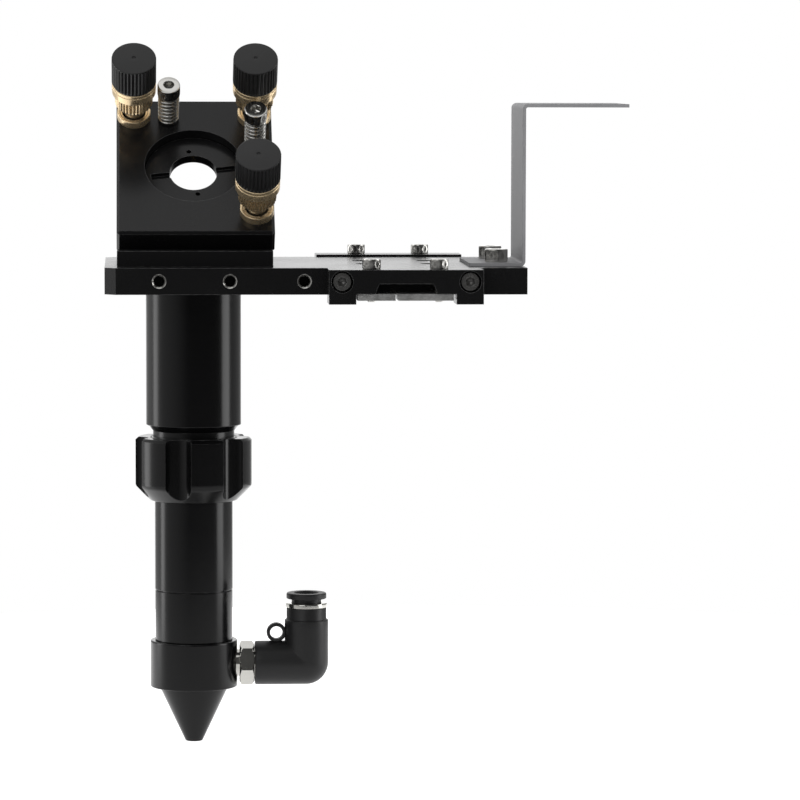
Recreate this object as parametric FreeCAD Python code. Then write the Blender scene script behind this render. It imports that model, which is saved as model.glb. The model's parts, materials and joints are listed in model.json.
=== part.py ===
# Laser cutting head with a kinematic 45 degree mirror mount, a focusing tube and an air nozzle.
# Millimetres, +Z up. The origin is the centre of the carriage bolt pattern on the base plate's
# underside, and the operator's side is towards -Y.

import FreeCAD
import Part
import math
import os

from FreeCAD import Placement, Rotation, Vector

# Base plate
base_length = 126.8
base_width = 73.0
base_thickness = 8.0
base_left = -89.6
base_corner = 3.3
carriage_pitch = 20.0
front_tap_offsets = (-10.9, 10.3, 32.6)
front_tap_depths = (10.0, 11.0, 12.0)

# Standard screws: shank, clearance hole, tapping drill, head
m3_shank = 3.0
m3_clearance = 3.4
m3_head = 5.5
m3_head_height = 3.0
m3_socket = 2.5
m4_shank = 4.0
m4_clearance = 4.5
m4_drill = 3.3
m4_head = 7.0
m4_head_height = 4.0
m4_socket = 3.0
counterbore_margin = 1.0
head_sink = 0.3
drill_margin = 0.3
thread_chamfer = 0.5

# Belt blocks and clamp plates on the front and rear edges of the base
block_length = 46.1
block_depth = 12.0
block_body = 7.2
foot_width = 8.1
foot_drop = 3.1
rear_block_rise = 0.7
channel_top_width = 16.1
channel_bottom_width = 18.7
channel_height = 3.0
block_screw_pitch = 38.2
block_screw_length = 16.0
clamp_screw_pitch = 20.2
clamp_thickness = 2.0
clamp_depth = 11.0
clamp_left = -14.5
clamp_narrow = 11.3
clamp_wide = 16.5
clamp_gap = 0.8
clamp_screw_end = 0.6

# Cable chain bracket, folded from sheet
sheet = 1.0
bend_radius = 0.6
bracket_width = 38.0
bracket_front = -27.5
bracket_foot = 17.0
bracket_height = 49.0
bracket_reach = 30.3
bracket_overhang = 0.2
bracket_screw_pitch = 22.0
bracket_screw_inset = 8.7
bracket_screw_length = 8.0
chain_hole_pitch = 20.0
chain_hole = 3.4
chain_hole_edge = 8.0

# Beam line
tube_x = -62.4
tube_y = 6.5
beam_height = 32.1
mirror_angle = 45.0

# Mirror plate, in its own frame: u across, v up the slope, h out of its face
plate_width = 48.0
plate_length = 56.4
plate_thickness = 9.0
plate_shift = 0.4
plate_edge = 0.8
recess_diameter = 30.0
recess_depth = 8.0
plate_aperture = 22.5
plate_gap = 2.0
retainer_thickness = 3.0
retainer_hole = 14.5
retainer_clearance = 0.2
retainer_slot = 2.4
retainer_slot_depth = 1.4
retainer_rim = 1.7
retainer_pin_hole = 1.5
retainer_pin_pitch = 18.1
retainer_turn = 8.0
mirror_room = 1.7

# Adjusters: three through the plate, two on the top edge and one at the lower right
adjuster_inset = 5.4
adjuster_drop = 7.4
adjuster_low_v = 8.5
bush_flange = 10.4
bush_flange_height = 2.5
bush_edge = 0.3
bush_body = 8.8
adjuster_shaft = 6.4
adjuster_play = 0.4
adjuster_tip = 3.6
adjuster_tip_length = 1.6
tip_play = 0.05
nut_diameter = 11.6
nut_height = 5.2
nut_start = 6.0
nut_play = 0.05
nut_teeth = 34
nut_tooth_depth = 0.4
nut_land = 0.5
collar_diameter = 13.6
collar_height = 4.4
collar_edge = 0.35
knob_diameter = 13.7
knob_height = 10.2
knob_ribs = 36
knob_rib_depth = 0.4
knob_edge = 0.4
knob_crown = 0.35
knob_pip = 1.2
knob_pip_depth = 0.4
ball_diameter = 5.0
ball_play = 0.1
pad_diameter = 6.0
pad_thickness = 1.5

# Spring screws that pull the plate onto its adjusters
spring_1_in = 10.7
spring_1_drop = 1.0
spring_2_drop = 11.3
spring_length = 11.1
spring_diameter = 6.6
spring_wire = 0.8
spring_end_gap = 0.08
spring_turns = 7.0
spring_screw_thread = 4.0
spring_hole = 5.2

# Mirror housing, measured from the tube axis
housing_inset = 0.5
housing_toe = 34.0
housing_toe_height = 4.7
housing_rear = 22.5
housing_top_flat = 2.0
housing_groove_width = 3.1
housing_groove_floor = 1.5
port_diameter = 18.0
port_land = 7.0
port_recess = 24.0
port_recess_depth = 2.0
housing_screw_u = 18.0
housing_screw_front = -28.0
housing_screw_rear = 16.0
housing_screw_bite = 3.8
aperture_reach = 10.0

# Upper tube with its collet, and the fluted lock ring
tube_diameter = 29.4
tube_length = 42.5
tube_bore = 24.2
tube_spigot = 26.0
tube_edge = 0.6
tube_bevel_diameter = 28.2
tube_bevel_length = 1.8
collet_diameter = 26.0
collet_length = 18.0
collet_neck = 25.2
collet_neck_length = 2.0
collet_slots = 3
collet_slot_width = 1.2
collet_slot_length = 14.0
spigot_bore = 20.6
stop_depth = 4.0
ring_gap = 2.0
ring_diameter = 36.0
ring_length = 19.6
ring_bottom_chamfer = 4.5
ring_top_chamfer = 0.9
ring_play = 0.1
ring_lip = 1.2
ring_lip_play = 0.3
flutes = 6
flute_cutter = 8.6
flute_depth = 3.5
flute_turn = -16.6

# Lens tube, lens holder and what they carry
lens_tube_diameter = 24.1
lens_tube_above = 67.0
lens_tube_bore = 20.6
lens_tube_edge = 0.4
lens_tube_end = 93.7
joint_groove = 0.35
joint_groove_depth = 0.4
holder_diameter = 24.0
holder_length = 15.9
holder_spigot = 21.5
holder_spigot_length = 6.0
holder_bore = 17.0
holder_tail = 22.0
holder_tail_length = 5.0
lens_diameter = 20.0
lens_thickness = 3.0
lens_crown = 0.9
lens_seat_depth = 3.6
seal_thickness = 1.0
seal_play = 0.2
lens_ring_height = 2.0

# Air ring, nozzle and push-in elbow
air_ring_diameter = 27.0
air_ring_length = 14.6
air_ring_edge = 0.5
air_ring_play = 0.05
air_chamber = 18.0
nozzle_spigot = 20.0
nozzle_spigot_length = 4.6
nozzle_play = 0.05
nozzle_top = 21.4
nozzle_tip = 5.2
nozzle_length = 17.2
nozzle_inlet = 16.0
nozzle_orifice = 2.4
nozzle_orifice_length = 2.0
fitting_drop = 7.5
fitting_thread = 8.6
fitting_thread_length = 2.8
fitting_hex = 12.0
fitting_hex_length = 4.6
fitting_hex_start = 14.1
fitting_hex_turn = 18.0
fitting_bore = 4.0
fitting_neck = 9.0
fitting_neck_length = 4.0
fitting_edge = 0.6
elbow_diameter = 13.6
elbow_gap = 0.2
elbow_reach = 35.0
elbow_rise = 17.4
elbow_shoulder = 12.4
elbow_shoulder_length = 3.8
elbow_play = 0.1
collet_ring_diameter = 12.8
collet_ring_height = 1.4
collet_ring_edge = 0.25
eyelet_x = 25.6
eyelet_rise = 9.5
eyelet_diameter = 6.0
eyelet_hole = 3.9
eyelet_thickness = 3.2
hose_diameter = 6.1
hose_depth = 7.0
button_sleeve = 9.2
button_sleeve_length = 6.7
button_flange = 12.4
button_flange_height = 1.8
button_bore = 6.2
button_gap = 1.3
button_play = 0.1
button_travel = 1.2
button_edge = 0.5

base_right = base_left + base_length
tube_bottom = -tube_length
collet_top = tube_bottom - tube_bevel_length
ring_top = collet_top - ring_gap
ring_bottom = ring_top - ring_length
collet_bottom = collet_top - collet_length
lens_tube_bottom = -lens_tube_end
holder_bottom = lens_tube_bottom - holder_length
air_ring_bottom = holder_bottom - air_ring_length
fitting_z = holder_bottom - fitting_drop
seat_h = -plate_thickness - plate_gap
housing_width = plate_width - 2 * housing_inset
slope = math.radians(mirror_angle)


def cylinder(diameter, low, high, x=0.0, y=0.0):
    return Part.makeCylinder(diameter / 2, high - low, Vector(x, y, low))


def hole_along_y(diameter, x, z, start, end):
    return Part.makeCylinder(diameter / 2, end - start, Vector(x, start, z), Vector(0, 1, 0))


def turned(profile, x=0.0, y=0.0):
    """Solid of revolution about the vertical line through x, y, from (radius, z) points."""
    points = [Vector(radius, 0, z) for radius, z in profile]
    face = Part.Face(Part.makePolygon(points + points[:1]))
    solid = face.revolve(Vector(0, 0, 0), Vector(0, 0, 1), 360)
    solid.translate(Vector(x, y, 0))
    return solid


def on_beam_line(profile):
    return turned(profile, tube_x, tube_y)


def toothed_prism(diameter, depth, teeth, low, high):
    """Prism whose outline goes in and out once for each tooth."""
    points = []
    for index in range(2 * teeth):
        radius = diameter / 2 - depth * (index % 2)
        angle = math.pi * index / teeth
        points.append(Vector(radius * math.cos(angle), radius * math.sin(angle), low))
    face = Part.Face(Part.makePolygon(points + points[:1]))
    return face.extrude(Vector(0, 0, high - low))


def hexagon(across_flats, low, high, turn=0.0):
    radius = across_flats / math.sqrt(3)
    points = []
    for index in range(6):
        angle = math.radians(60 * index + turn)
        points.append(Vector(radius * math.cos(angle), radius * math.sin(angle), low))
    face = Part.Face(Part.makePolygon(points + points[:1]))
    return face.extrude(Vector(0, 0, high - low))


def cap_screw(shank, head, head_height, socket, length):
    """Socket cap screw whose head sits on the XY plane, with the shank along -Z."""
    rim = head / 2
    edge = 0.06 * head
    tip = 0.15 * shank
    profile = [
        (0, -length), (shank / 2 - tip, -length), (shank / 2, tip - length), (shank / 2, 0),
        (rim, 0), (rim, head_height - edge), (rim - edge, head_height), (0, head_height),
    ]
    return turned(profile).cut(hexagon(socket, 0.45 * head_height, head_height + 1))


def m3_screw(length):
    return cap_screw(m3_shank, m3_head, m3_head_height, m3_socket, length)


def m4_screw(length):
    return cap_screw(m4_shank, m4_head, m4_head_height, m4_socket, length)


def placed(shape, x, y, z, axis=Vector(1, 0, 0), angle=0.0):
    copy = shape.copy()
    copy.Placement = Placement(Vector(x, y, z), Rotation(axis, angle)).multiply(shape.Placement)
    return copy


def plate_frame():
    """Frame of the mirror plate: the mirror's face is centred on the beam where it turns down."""
    turn = Placement(Vector(tube_x, tube_y, beam_height), Rotation(Vector(1, 0, 0), mirror_angle))
    return turn.multiply(Placement(Vector(0, -plate_length / 2, recess_depth), Rotation()))


def on_plate(shape, u=0.0, v=0.0, h=0.0):
    copy = shape.copy()
    place = plate_frame().multiply(Placement(Vector(u, v, h), Rotation()))
    copy.Placement = place.multiply(shape.Placement)
    return copy


def adjuster_places():
    side = plate_width / 2 - adjuster_inset
    left, right = plate_shift - side, plate_shift + side
    top = plate_length - adjuster_drop
    return (left, top), (right, top), (right, adjuster_low_v)


def spring_places():
    left, right, _ = adjuster_places()
    return (left[0] + spring_1_in, left[1] - spring_1_drop), (right[0], right[1] - spring_2_drop)


def block_screw_places():
    return (-block_screw_pitch / 2, block_screw_pitch / 2)


def clamp_screw_places():
    return (-clamp_screw_pitch / 2, clamp_screw_pitch / 2)


def bracket_screw_places():
    x = base_right + bracket_overhang - bracket_screw_inset + sheet / 2
    middle = bracket_front + bracket_width / 2
    return [(x, middle - bracket_screw_pitch / 2), (x, middle + bracket_screw_pitch / 2)]


def housing_screw_places():
    return [
        (tube_x + side * housing_screw_u, tube_y + y)
        for side in (-1, 1)
        for y in (housing_screw_front, housing_screw_rear)
    ]


def block_screw_z():
    return base_thickness - block_body + block_body / 2


def base_plate():
    corner = base_corner
    left, right, half = base_left, base_right, base_width / 2
    outline = [
        Vector(left + corner, -half, 0), Vector(right, -half, 0), Vector(right, half, 0),
        Vector(left + corner, half, 0), Vector(left, half - corner, 0), Vector(left, corner - half, 0),
    ]
    face = Part.Face(Part.makePolygon(outline + outline[:1]))
    plate = face.extrude(Vector(0, 0, base_thickness))
    cuts = [cylinder(tube_spigot, -1, base_thickness + 1, tube_x, tube_y)]
    for x in (-carriage_pitch / 2, carriage_pitch / 2):
        for y in (-carriage_pitch / 2, carriage_pitch / 2):
            cuts.append(cylinder(m3_clearance, -1, base_thickness + 1, x, y))
            counterbore = m3_head + counterbore_margin
            floor = base_thickness - m3_head_height - head_sink
            cuts.append(cylinder(counterbore, floor, base_thickness + 1, x, y))
    for offset, depth in zip(front_tap_offsets, front_tap_depths):
        cuts.append(front_tap(tube_x + offset, depth))
    for side in (-1, 1):
        for x in block_screw_places():
            bite = block_screw_length - block_depth + block_counterbore_depth() + drill_margin
            start = side * half if side < 0 else half - bite
            cuts.append(hole_along_y(m3_shank, x, block_screw_z(), start, start + bite))
    for x, y in bracket_screw_places():
        cuts.append(cylinder(m4_shank, -1, base_thickness + 1, x, y))
    for x, y in housing_screw_places():
        cuts.append(cylinder(m4_clearance, -1, base_thickness + 1, x, y))
        counterbore = m4_head + counterbore_margin
        cuts.append(cylinder(counterbore, -1, housing_screw_seat(), x, y))
    return plate.cut(cuts)


def front_tap(x, depth):
    """Tapped hole in the front face, with its countersunk mouth."""
    start = -base_width / 2
    drill = hole_along_y(m4_drill, x, base_thickness / 2, start - 1, start + depth)
    mouth = Part.makeCone(
        m4_drill / 2 + thread_chamfer, m4_drill / 2, thread_chamfer,
        Vector(x, start, base_thickness / 2), Vector(0, 1, 0),
    )
    return drill.fuse(mouth)


def housing_screw_seat():
    return m4_head_height + head_sink


def block_counterbore_depth():
    return m3_head_height + 1.2


def belt_block(side, rise):
    """Belt block bolted to one edge of the base: two feet with a tapering belt channel between."""
    low = base_thickness - block_body
    half = block_length / 2
    inner = half - foot_width
    top = base_thickness + rise
    outline = [
        (-half, top), (-half, low - foot_drop), (-inner, low - foot_drop), (-inner, low),
        (-channel_bottom_width / 2, low), (-channel_top_width / 2, low + channel_height),
        (channel_top_width / 2, low + channel_height), (channel_bottom_width / 2, low),
        (inner, low), (inner, low - foot_drop), (half, low - foot_drop), (half, top),
    ]
    points = [Vector(x, 0, z) for x, z in outline]
    block = Part.Face(Part.makePolygon(points + points[:1])).extrude(Vector(0, block_depth, 0))
    start = side * base_width / 2 - (block_depth if side < 0 else 0)
    block.translate(Vector(0, start, 0))
    outer = side * (base_width / 2 + block_depth)
    cuts = []
    for x in block_screw_places():
        cuts.append(hole_along_y(m3_shank, x, block_screw_z(), start - 1, start + block_depth + 1))
        depth = block_counterbore_depth()
        mouth = outer - 1 if side < 0 else outer - depth
        cuts.append(hole_along_y(m3_head + counterbore_margin, x, block_screw_z(), mouth, mouth + depth + 1))
    for x in clamp_screw_places():
        middle = side * (base_width + block_depth) / 2
        cuts.append(cylinder(m3_shank, low - 1, top + 1, x, middle))
    return block.cut(cuts)


def block_screws(side):
    seat = side * (base_width / 2 + block_depth - block_counterbore_depth())
    screw = m3_screw(block_screw_length)
    turn = 90 if side < 0 else -90
    z = block_screw_z()
    return Part.makeCompound([placed(screw, x, seat, z, angle=turn) for x in block_screw_places()])


def clamp_plate(side, wide):
    """Thin plate that holds the belt up into the channel of its block."""
    start = clamp_left + (clamp_narrow + clamp_gap if wide else 0)
    width = clamp_wide if wide else clamp_narrow
    middle = side * (base_width + block_depth) / 2
    high = base_thickness - block_body
    corner = Vector(start, middle - clamp_depth / 2, high - clamp_thickness)
    plate = Part.makeBox(width, clamp_depth, clamp_thickness, corner)
    x = clamp_screw_places()[1 if wide else 0]
    return plate.cut(cylinder(m3_shank, high - clamp_thickness - 1, high + 1, x, middle))


def clamp_screws(side, rise):
    top = base_thickness + rise
    length = rise + block_body + clamp_thickness + clamp_screw_end
    middle = side * (base_width + block_depth) / 2
    screw = m3_screw(length)
    return Part.makeCompound([placed(screw, x, middle, top) for x in clamp_screw_places()])


def chain_bracket():
    """Z-shaped strip: foot on the base, upright at its right end, flange for the cable chain."""
    outer = base_right + bracket_overhang
    foot_start = outer - bracket_foot
    top = base_thickness + bracket_height
    end = outer + bracket_reach + sheet
    inside, outside = bend_radius, bend_radius + sheet
    low, upright = base_thickness, outer - sheet
    foot_bend = Vector(upright - inside, 0, low + sheet + inside)
    top_bend = Vector(outer + inside, 0, top - sheet - inside)
    diagonal = math.sqrt(0.5)
    edges = [
        Part.makeLine(Vector(foot_start, 0, low), Vector(foot_bend.x, 0, low)),
        Part.Arc(
            Vector(foot_bend.x, 0, low),
            foot_bend + Vector(outside * diagonal, 0, -outside * diagonal),
            Vector(outer, 0, foot_bend.z),
        ).toShape(),
        Part.makeLine(Vector(outer, 0, foot_bend.z), Vector(outer, 0, top_bend.z)),
        Part.Arc(
            Vector(outer, 0, top_bend.z),
            top_bend + Vector(-inside * diagonal, 0, inside * diagonal),
            Vector(top_bend.x, 0, top - sheet),
        ).toShape(),
        Part.makeLine(Vector(top_bend.x, 0, top - sheet), Vector(end, 0, top - sheet)),
        Part.makeLine(Vector(end, 0, top - sheet), Vector(end, 0, top)),
        Part.makeLine(Vector(end, 0, top), Vector(top_bend.x, 0, top)),
        Part.Arc(
            Vector(top_bend.x, 0, top),
            top_bend + Vector(-outside * diagonal, 0, outside * diagonal),
            Vector(upright, 0, top_bend.z),
        ).toShape(),
        Part.makeLine(Vector(upright, 0, top_bend.z), Vector(upright, 0, foot_bend.z)),
        Part.Arc(
            Vector(upright, 0, foot_bend.z),
            foot_bend + Vector(inside * diagonal, 0, -inside * diagonal),
            Vector(foot_bend.x, 0, low + sheet),
        ).toShape(),
        Part.makeLine(Vector(foot_bend.x, 0, low + sheet), Vector(foot_start, 0, low + sheet)),
        Part.makeLine(Vector(foot_start, 0, low + sheet), Vector(foot_start, 0, low)),
    ]
    strip = Part.Face(Part.Wire(edges)).extrude(Vector(0, bracket_width, 0))
    strip.translate(Vector(0, bracket_front, 0))
    cuts = [cylinder(m4_clearance, low - 1, low + sheet + 1, x, y) for x, y in bracket_screw_places()]
    middle = bracket_front + bracket_width / 2
    for y in (middle - chain_hole_pitch / 2, middle + chain_hole_pitch / 2):
        cuts.append(cylinder(chain_hole, top - sheet - 1, top + 1, end - chain_hole_edge, y))
    return strip.cut(cuts)


def chain_bracket_screws():
    screw = m4_screw(bracket_screw_length)
    seat = base_thickness + sheet
    return Part.makeCompound([placed(screw, x, y, seat) for x, y in bracket_screw_places()])


def seat_height(y):
    """Height of the 45 degree seat above the base, at a distance y behind the tube axis."""
    run = math.tan(slope)
    drop = (recess_depth + seat_h) / math.cos(slope)
    return beam_height - base_thickness + y * run + drop


def seat_run(height):
    drop = (recess_depth + seat_h) / math.cos(slope)
    return (height - (beam_height - base_thickness) - drop) / math.tan(slope)


def mirror_housing():
    """Wedge with the 45 degree seat, the rear beam port and the bore down to the tube."""
    flat = housing_top_flat
    top = seat_height(housing_rear - flat)
    groove_back = seat_run(housing_groove_floor)
    groove_front = groove_back - housing_groove_width
    outline = [
        (-housing_toe, 0), (housing_rear, 0), (housing_rear, top), (housing_rear - flat, top),
        (groove_back, housing_groove_floor), (groove_front, housing_groove_floor),
        (groove_front, housing_toe_height), (-housing_toe, housing_toe_height),
    ]
    points = [Vector(0, y, z) for y, z in outline]
    wedge = Part.Face(Part.makePolygon(points + points[:1])).extrude(Vector(housing_width, 0, 0))
    wedge.translate(Vector(tube_x - housing_width / 2, tube_y, base_thickness))
    rear = tube_y + housing_rear
    chamber_end = rear - port_recess_depth - port_land
    slanted = cylinder(plate_aperture, -aperture_reach, aperture_reach)
    cuts = [
        cylinder(plate_aperture, base_thickness - 1, beam_height + plate_aperture, tube_x, tube_y),
        hole_along_y(plate_aperture, tube_x, beam_height, tube_y, chamber_end),
        hole_along_y(port_diameter, tube_x, beam_height, tube_y, rear + 1),
        hole_along_y(port_recess, tube_x, beam_height, rear - port_recess_depth, rear + 1),
        on_plate(slanted, 0, plate_length / 2, seat_h),
    ]
    for u, v in spring_places():
        cuts.append(on_plate(cylinder(m4_shank, -spring_screw_thread - drill_margin, 1), u, v, seat_h))
    left, pivot, low = adjuster_places()
    ball_pocket = Part.makeSphere(ball_diameter / 2 + ball_play)
    cuts.append(on_plate(ball_pocket, pivot[0], pivot[1], seat_h))
    for place in (left, low):
        cuts.append(on_plate(cylinder(pad_diameter, -pad_thickness, 1), place[0], place[1], seat_h))
    for x, y in housing_screw_places():
        cuts.append(cylinder(m4_shank, base_thickness - 1, base_thickness + housing_screw_bite, x, y))
    return wedge.cut(cuts)


def housing_screws():
    seat = housing_screw_seat()
    screw = m4_screw(base_thickness - seat + housing_screw_bite - drill_margin)
    return Part.makeCompound([placed(screw, x, y, seat, angle=180) for x, y in housing_screw_places()])


def seat_pads():
    pad = cylinder(pad_diameter, -pad_thickness, 0)
    left, _, low = adjuster_places()
    return Part.makeCompound([on_plate(pad, u, v, seat_h) for u, v in (left, low)])


def pivot_ball():
    u, v = adjuster_places()[1]
    return on_plate(Part.makeSphere(ball_diameter / 2), u, v, seat_h)


def mirror_plate():
    """Moving plate with the mirror's recess, its lip, and the holes for adjusters and spring screws."""
    corner = Vector(plate_shift - plate_width / 2, 0, -plate_thickness)
    block = Part.makeBox(plate_width, plate_length, plate_thickness, corner)
    block = block.makeChamfer(plate_edge, block.Edges)
    centre = plate_length / 2
    cuts = [
        cylinder(recess_diameter, -recess_depth, 1, 0, centre),
        cylinder(plate_aperture, -plate_thickness - 1, 1, 0, centre),
    ]
    for u, v in adjuster_places():
        cuts.append(cylinder(bush_body, -plate_thickness - 1, 1, u, v))
    for u, v in spring_places():
        cuts.append(cylinder(spring_hole, -plate_thickness - 1, 1, u, v))
    return on_plate(block.cut(cuts))


def mirror_retaining_ring():
    """Threaded ring in the recess, with two driver slots and two pin holes."""
    low = mirror_room - recess_depth
    high = low + retainer_thickness
    outer = recess_diameter - 2 * retainer_clearance
    ring = cylinder(outer, low, high).cut(cylinder(retainer_hole, low - 1, high + 1))
    reach = outer / 2 - retainer_rim
    corner = Vector(-reach, -retainer_slot / 2, high - retainer_slot_depth)
    ring = ring.cut([
        Part.makeBox(2 * reach, retainer_slot, retainer_slot_depth + 1, corner),
        cylinder(retainer_pin_hole, low - 1, high + 1, 0, -retainer_pin_pitch / 2),
        cylinder(retainer_pin_hole, low - 1, high + 1, 0, retainer_pin_pitch / 2),
    ])
    ring.rotate(Vector(0, 0, 0), Vector(0, 0, 1), retainer_turn)
    return on_plate(ring, 0, plate_length / 2)


def adjuster_bush():
    bore = adjuster_shaft / 2 + adjuster_play
    rim = bush_flange / 2
    return turned([
        (bore, -plate_thickness), (bush_body / 2, -plate_thickness), (bush_body / 2, 0), (rim, 0),
        (rim, bush_flange_height - bush_edge), (rim - bush_edge, bush_flange_height),
        (bore, bush_flange_height),
    ])


def adjuster_top():
    return nut_start + nut_height + collar_height


def adjuster_screw(tip_h):
    """Steel adjuster spindle, from its tip on the seat up into the knob."""
    shaft = adjuster_shaft / 2
    tip = adjuster_tip / 2
    shoulder = tip_h + adjuster_tip_length
    return turned([
        (0, tip_h), (tip, tip_h), (tip, shoulder), (shaft, shoulder),
        (shaft, adjuster_top()), (0, adjuster_top()),
    ])


def lock_nut():
    bore = adjuster_shaft + 2 * nut_play
    high = nut_start + nut_height
    land = nut_diameter - 2 * (nut_tooth_depth + nut_play)
    knurl = toothed_prism(nut_diameter, nut_tooth_depth, nut_teeth, nut_start + nut_land, high - nut_land)
    body = knurl.fuse(cylinder(land, nut_start, high))
    return body.cut(cylinder(bore, nut_start - 1, high + 1))


def adjuster_collar():
    low = nut_start + nut_height + nut_play
    high = adjuster_top()
    edge = collar_edge
    rim = collar_diameter / 2
    return turned([
        (adjuster_shaft / 2, low), (rim - edge, low), (rim, low + edge),
        (rim, high - edge), (rim - edge, high), (adjuster_shaft / 2, high),
    ])


def adjuster_knob():
    """Ribbed knob, slightly crowned, with a small moulding pip in the middle of its top."""
    low = adjuster_top()
    high = low + knob_height
    rim = knob_diameter / 2
    ribbed = toothed_prism(knob_diameter, knob_rib_depth, knob_ribs, low, high)
    crown = high - knob_crown
    envelope = turned([
        (0, low), (rim - knob_edge / 2, low), (rim, low + knob_edge / 2), (rim, crown - knob_edge),
        (rim - knob_edge, crown), (knob_pip, high), (0, high),
    ])
    return ribbed.common(envelope).cut(cylinder(knob_pip, high - knob_pip_depth, high + 1))


def spring_screw():
    screw = m4_screw(spring_length + plate_thickness + plate_gap + spring_screw_thread)
    return placed(screw, 0, 0, spring_length)


def compression_spring():
    """Wire coiled between the plate's face and the screw's head, as a five-sided section on a helix."""
    coil_radius = (spring_diameter - spring_wire) / 2
    rise = spring_length - spring_wire - 2 * spring_end_gap
    helix = Part.makeHelix(rise / spring_turns, rise, coil_radius)
    sides = 5
    area = math.pi * (spring_wire / 2) ** 2
    corner_radius = math.sqrt(2 * area / (sides * math.sin(2 * math.pi / sides)))
    corners = []
    for index in range(sides):
        angle = 2 * math.pi * index / sides
        corners.append(Vector(
            coil_radius + corner_radius * math.cos(angle), 0, corner_radius * math.sin(angle),
        ))
    section = Part.makePolygon(corners + corners[:1])
    coil = Part.Wire(helix.Edges).makePipeShell([section], True, True)
    coil.translate(Vector(0, 0, spring_wire / 2 + spring_end_gap))
    return coil


def upper_tube():
    """Tube screwed up into the base, with a slotted collet at its lower end."""
    outer, bore = tube_diameter / 2, tube_bore / 2
    spigot, collet, neck = tube_spigot / 2, collet_diameter / 2, collet_neck / 2
    neck_end = collet_top - collet_neck_length
    stop = -stop_depth
    tube = on_beam_line([
        (spigot_bore / 2, base_thickness), (spigot, base_thickness), (spigot, 0), (outer - tube_edge, 0),
        (outer, -tube_edge), (outer, tube_bottom), (tube_bevel_diameter / 2, tube_bottom),
        (neck, collet_top), (neck, neck_end), (collet, neck_end), (collet, collet_bottom),
        (bore, collet_bottom), (bore, stop), (spigot_bore / 2, stop),
    ])
    slots = []
    for index in range(collet_slots):
        slot = Part.makeBox(
            collet_diameter, collet_slot_width, collet_slot_length + 1,
            Vector(0, -collet_slot_width / 2, collet_bottom - 1),
        )
        slot.rotate(Vector(0, 0, 0), Vector(0, 0, 1), 360 * index / collet_slots)
        slot.translate(Vector(tube_x, tube_y, 0))
        slots.append(slot)
    return tube.cut(slots)


def lock_ring():
    """Collet nut with straight flutes for the fingers."""
    outer = ring_diameter / 2
    bore = collet_diameter / 2 + ring_play
    lip_bore = lens_tube_diameter / 2 + ring_lip_play
    lip_top = collet_bottom - ring_lip
    ring = on_beam_line([
        (bore, ring_top), (outer - ring_top_chamfer, ring_top), (outer, ring_top - ring_top_chamfer),
        (outer, ring_bottom + ring_bottom_chamfer), (outer - ring_bottom_chamfer, ring_bottom),
        (lip_bore, ring_bottom), (lip_bore, lip_top), (bore, lip_top),
    ])
    reach = outer - flute_depth + flute_cutter / 2
    cuts = []
    for index in range(flutes):
        angle = math.radians(flute_turn + 360 * index / flutes - 90)
        x = tube_x + reach * math.cos(angle)
        y = tube_y + reach * math.sin(angle)
        cuts.append(cylinder(flute_cutter, ring_bottom - 1, ring_top + 1, x, y))
    return ring.cut(cuts)


def lens_tube():
    outer, bore, edge = lens_tube_diameter / 2, lens_tube_bore / 2, lens_tube_edge
    top = lens_tube_bottom + lens_tube_above
    socket = holder_spigot / 2
    return on_beam_line([
        (bore, top), (outer - edge, top), (outer, top - edge), (outer, lens_tube_bottom),
        (socket, lens_tube_bottom), (socket, lens_tube_bottom + holder_spigot_length),
        (bore, lens_tube_bottom + holder_spigot_length),
    ])


def lens_seat():
    return lens_tube_bottom - lens_seat_depth


def lens_holder():
    """Turned holder between the lens tube and the air ring, with the lens seat inside."""
    outer = holder_diameter / 2
    groove = outer - joint_groove_depth
    spigot, tail = holder_spigot / 2, holder_tail / 2
    top = lens_tube_bottom + holder_spigot_length
    return on_beam_line([
        (lens_diameter / 2, lens_seat()), (lens_diameter / 2, top), (spigot, top), (spigot, lens_tube_bottom),
        (groove, lens_tube_bottom), (groove, lens_tube_bottom - joint_groove),
        (outer, lens_tube_bottom - joint_groove), (outer, holder_bottom), (tail, holder_bottom),
        (tail, holder_bottom - holder_tail_length), (holder_bore / 2, holder_bottom - holder_tail_length),
        (holder_bore / 2, lens_seat()),
    ])


def lens_seal():
    low = lens_seat()
    high = low + seal_thickness
    inner = holder_bore / 2 + seal_play
    return on_beam_line([(inner, low), (lens_diameter / 2, low), (lens_diameter / 2, high), (inner, high)])


def focus_lens():
    """Plano-convex lens, flat side down, with its crown as one arc."""
    low = lens_seat() + seal_thickness
    rim = low + lens_thickness - lens_crown
    radius = lens_diameter / 2
    curve = (radius ** 2 + lens_crown ** 2) / (2 * lens_crown)
    halfway = rim + lens_crown - curve + math.sqrt(curve ** 2 - (radius / 2) ** 2)
    edge, middle = Vector(radius, 0, rim), Vector(0, 0, rim + lens_crown)
    edges = [
        Part.makeLine(Vector(0, 0, low), Vector(radius, 0, low)),
        Part.makeLine(Vector(radius, 0, low), edge),
        Part.Arc(edge, Vector(radius / 2, 0, halfway), middle).toShape(),
        Part.makeLine(middle, Vector(0, 0, low)),
    ]
    lens = Part.Face(Part.Wire(edges)).revolve(Vector(0, 0, 0), Vector(0, 0, 1), 360)
    lens.translate(Vector(tube_x, tube_y, 0))
    return lens


def lens_retaining_ring():
    low = lens_seat() + seal_thickness + lens_thickness - lens_crown
    inner = holder_bore / 2 + 0.8
    return on_beam_line([
        (inner, low + lens_crown), (lens_diameter / 2, low), (lens_diameter / 2, low + lens_ring_height),
        (inner, low + lens_ring_height + lens_crown),
    ])


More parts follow.
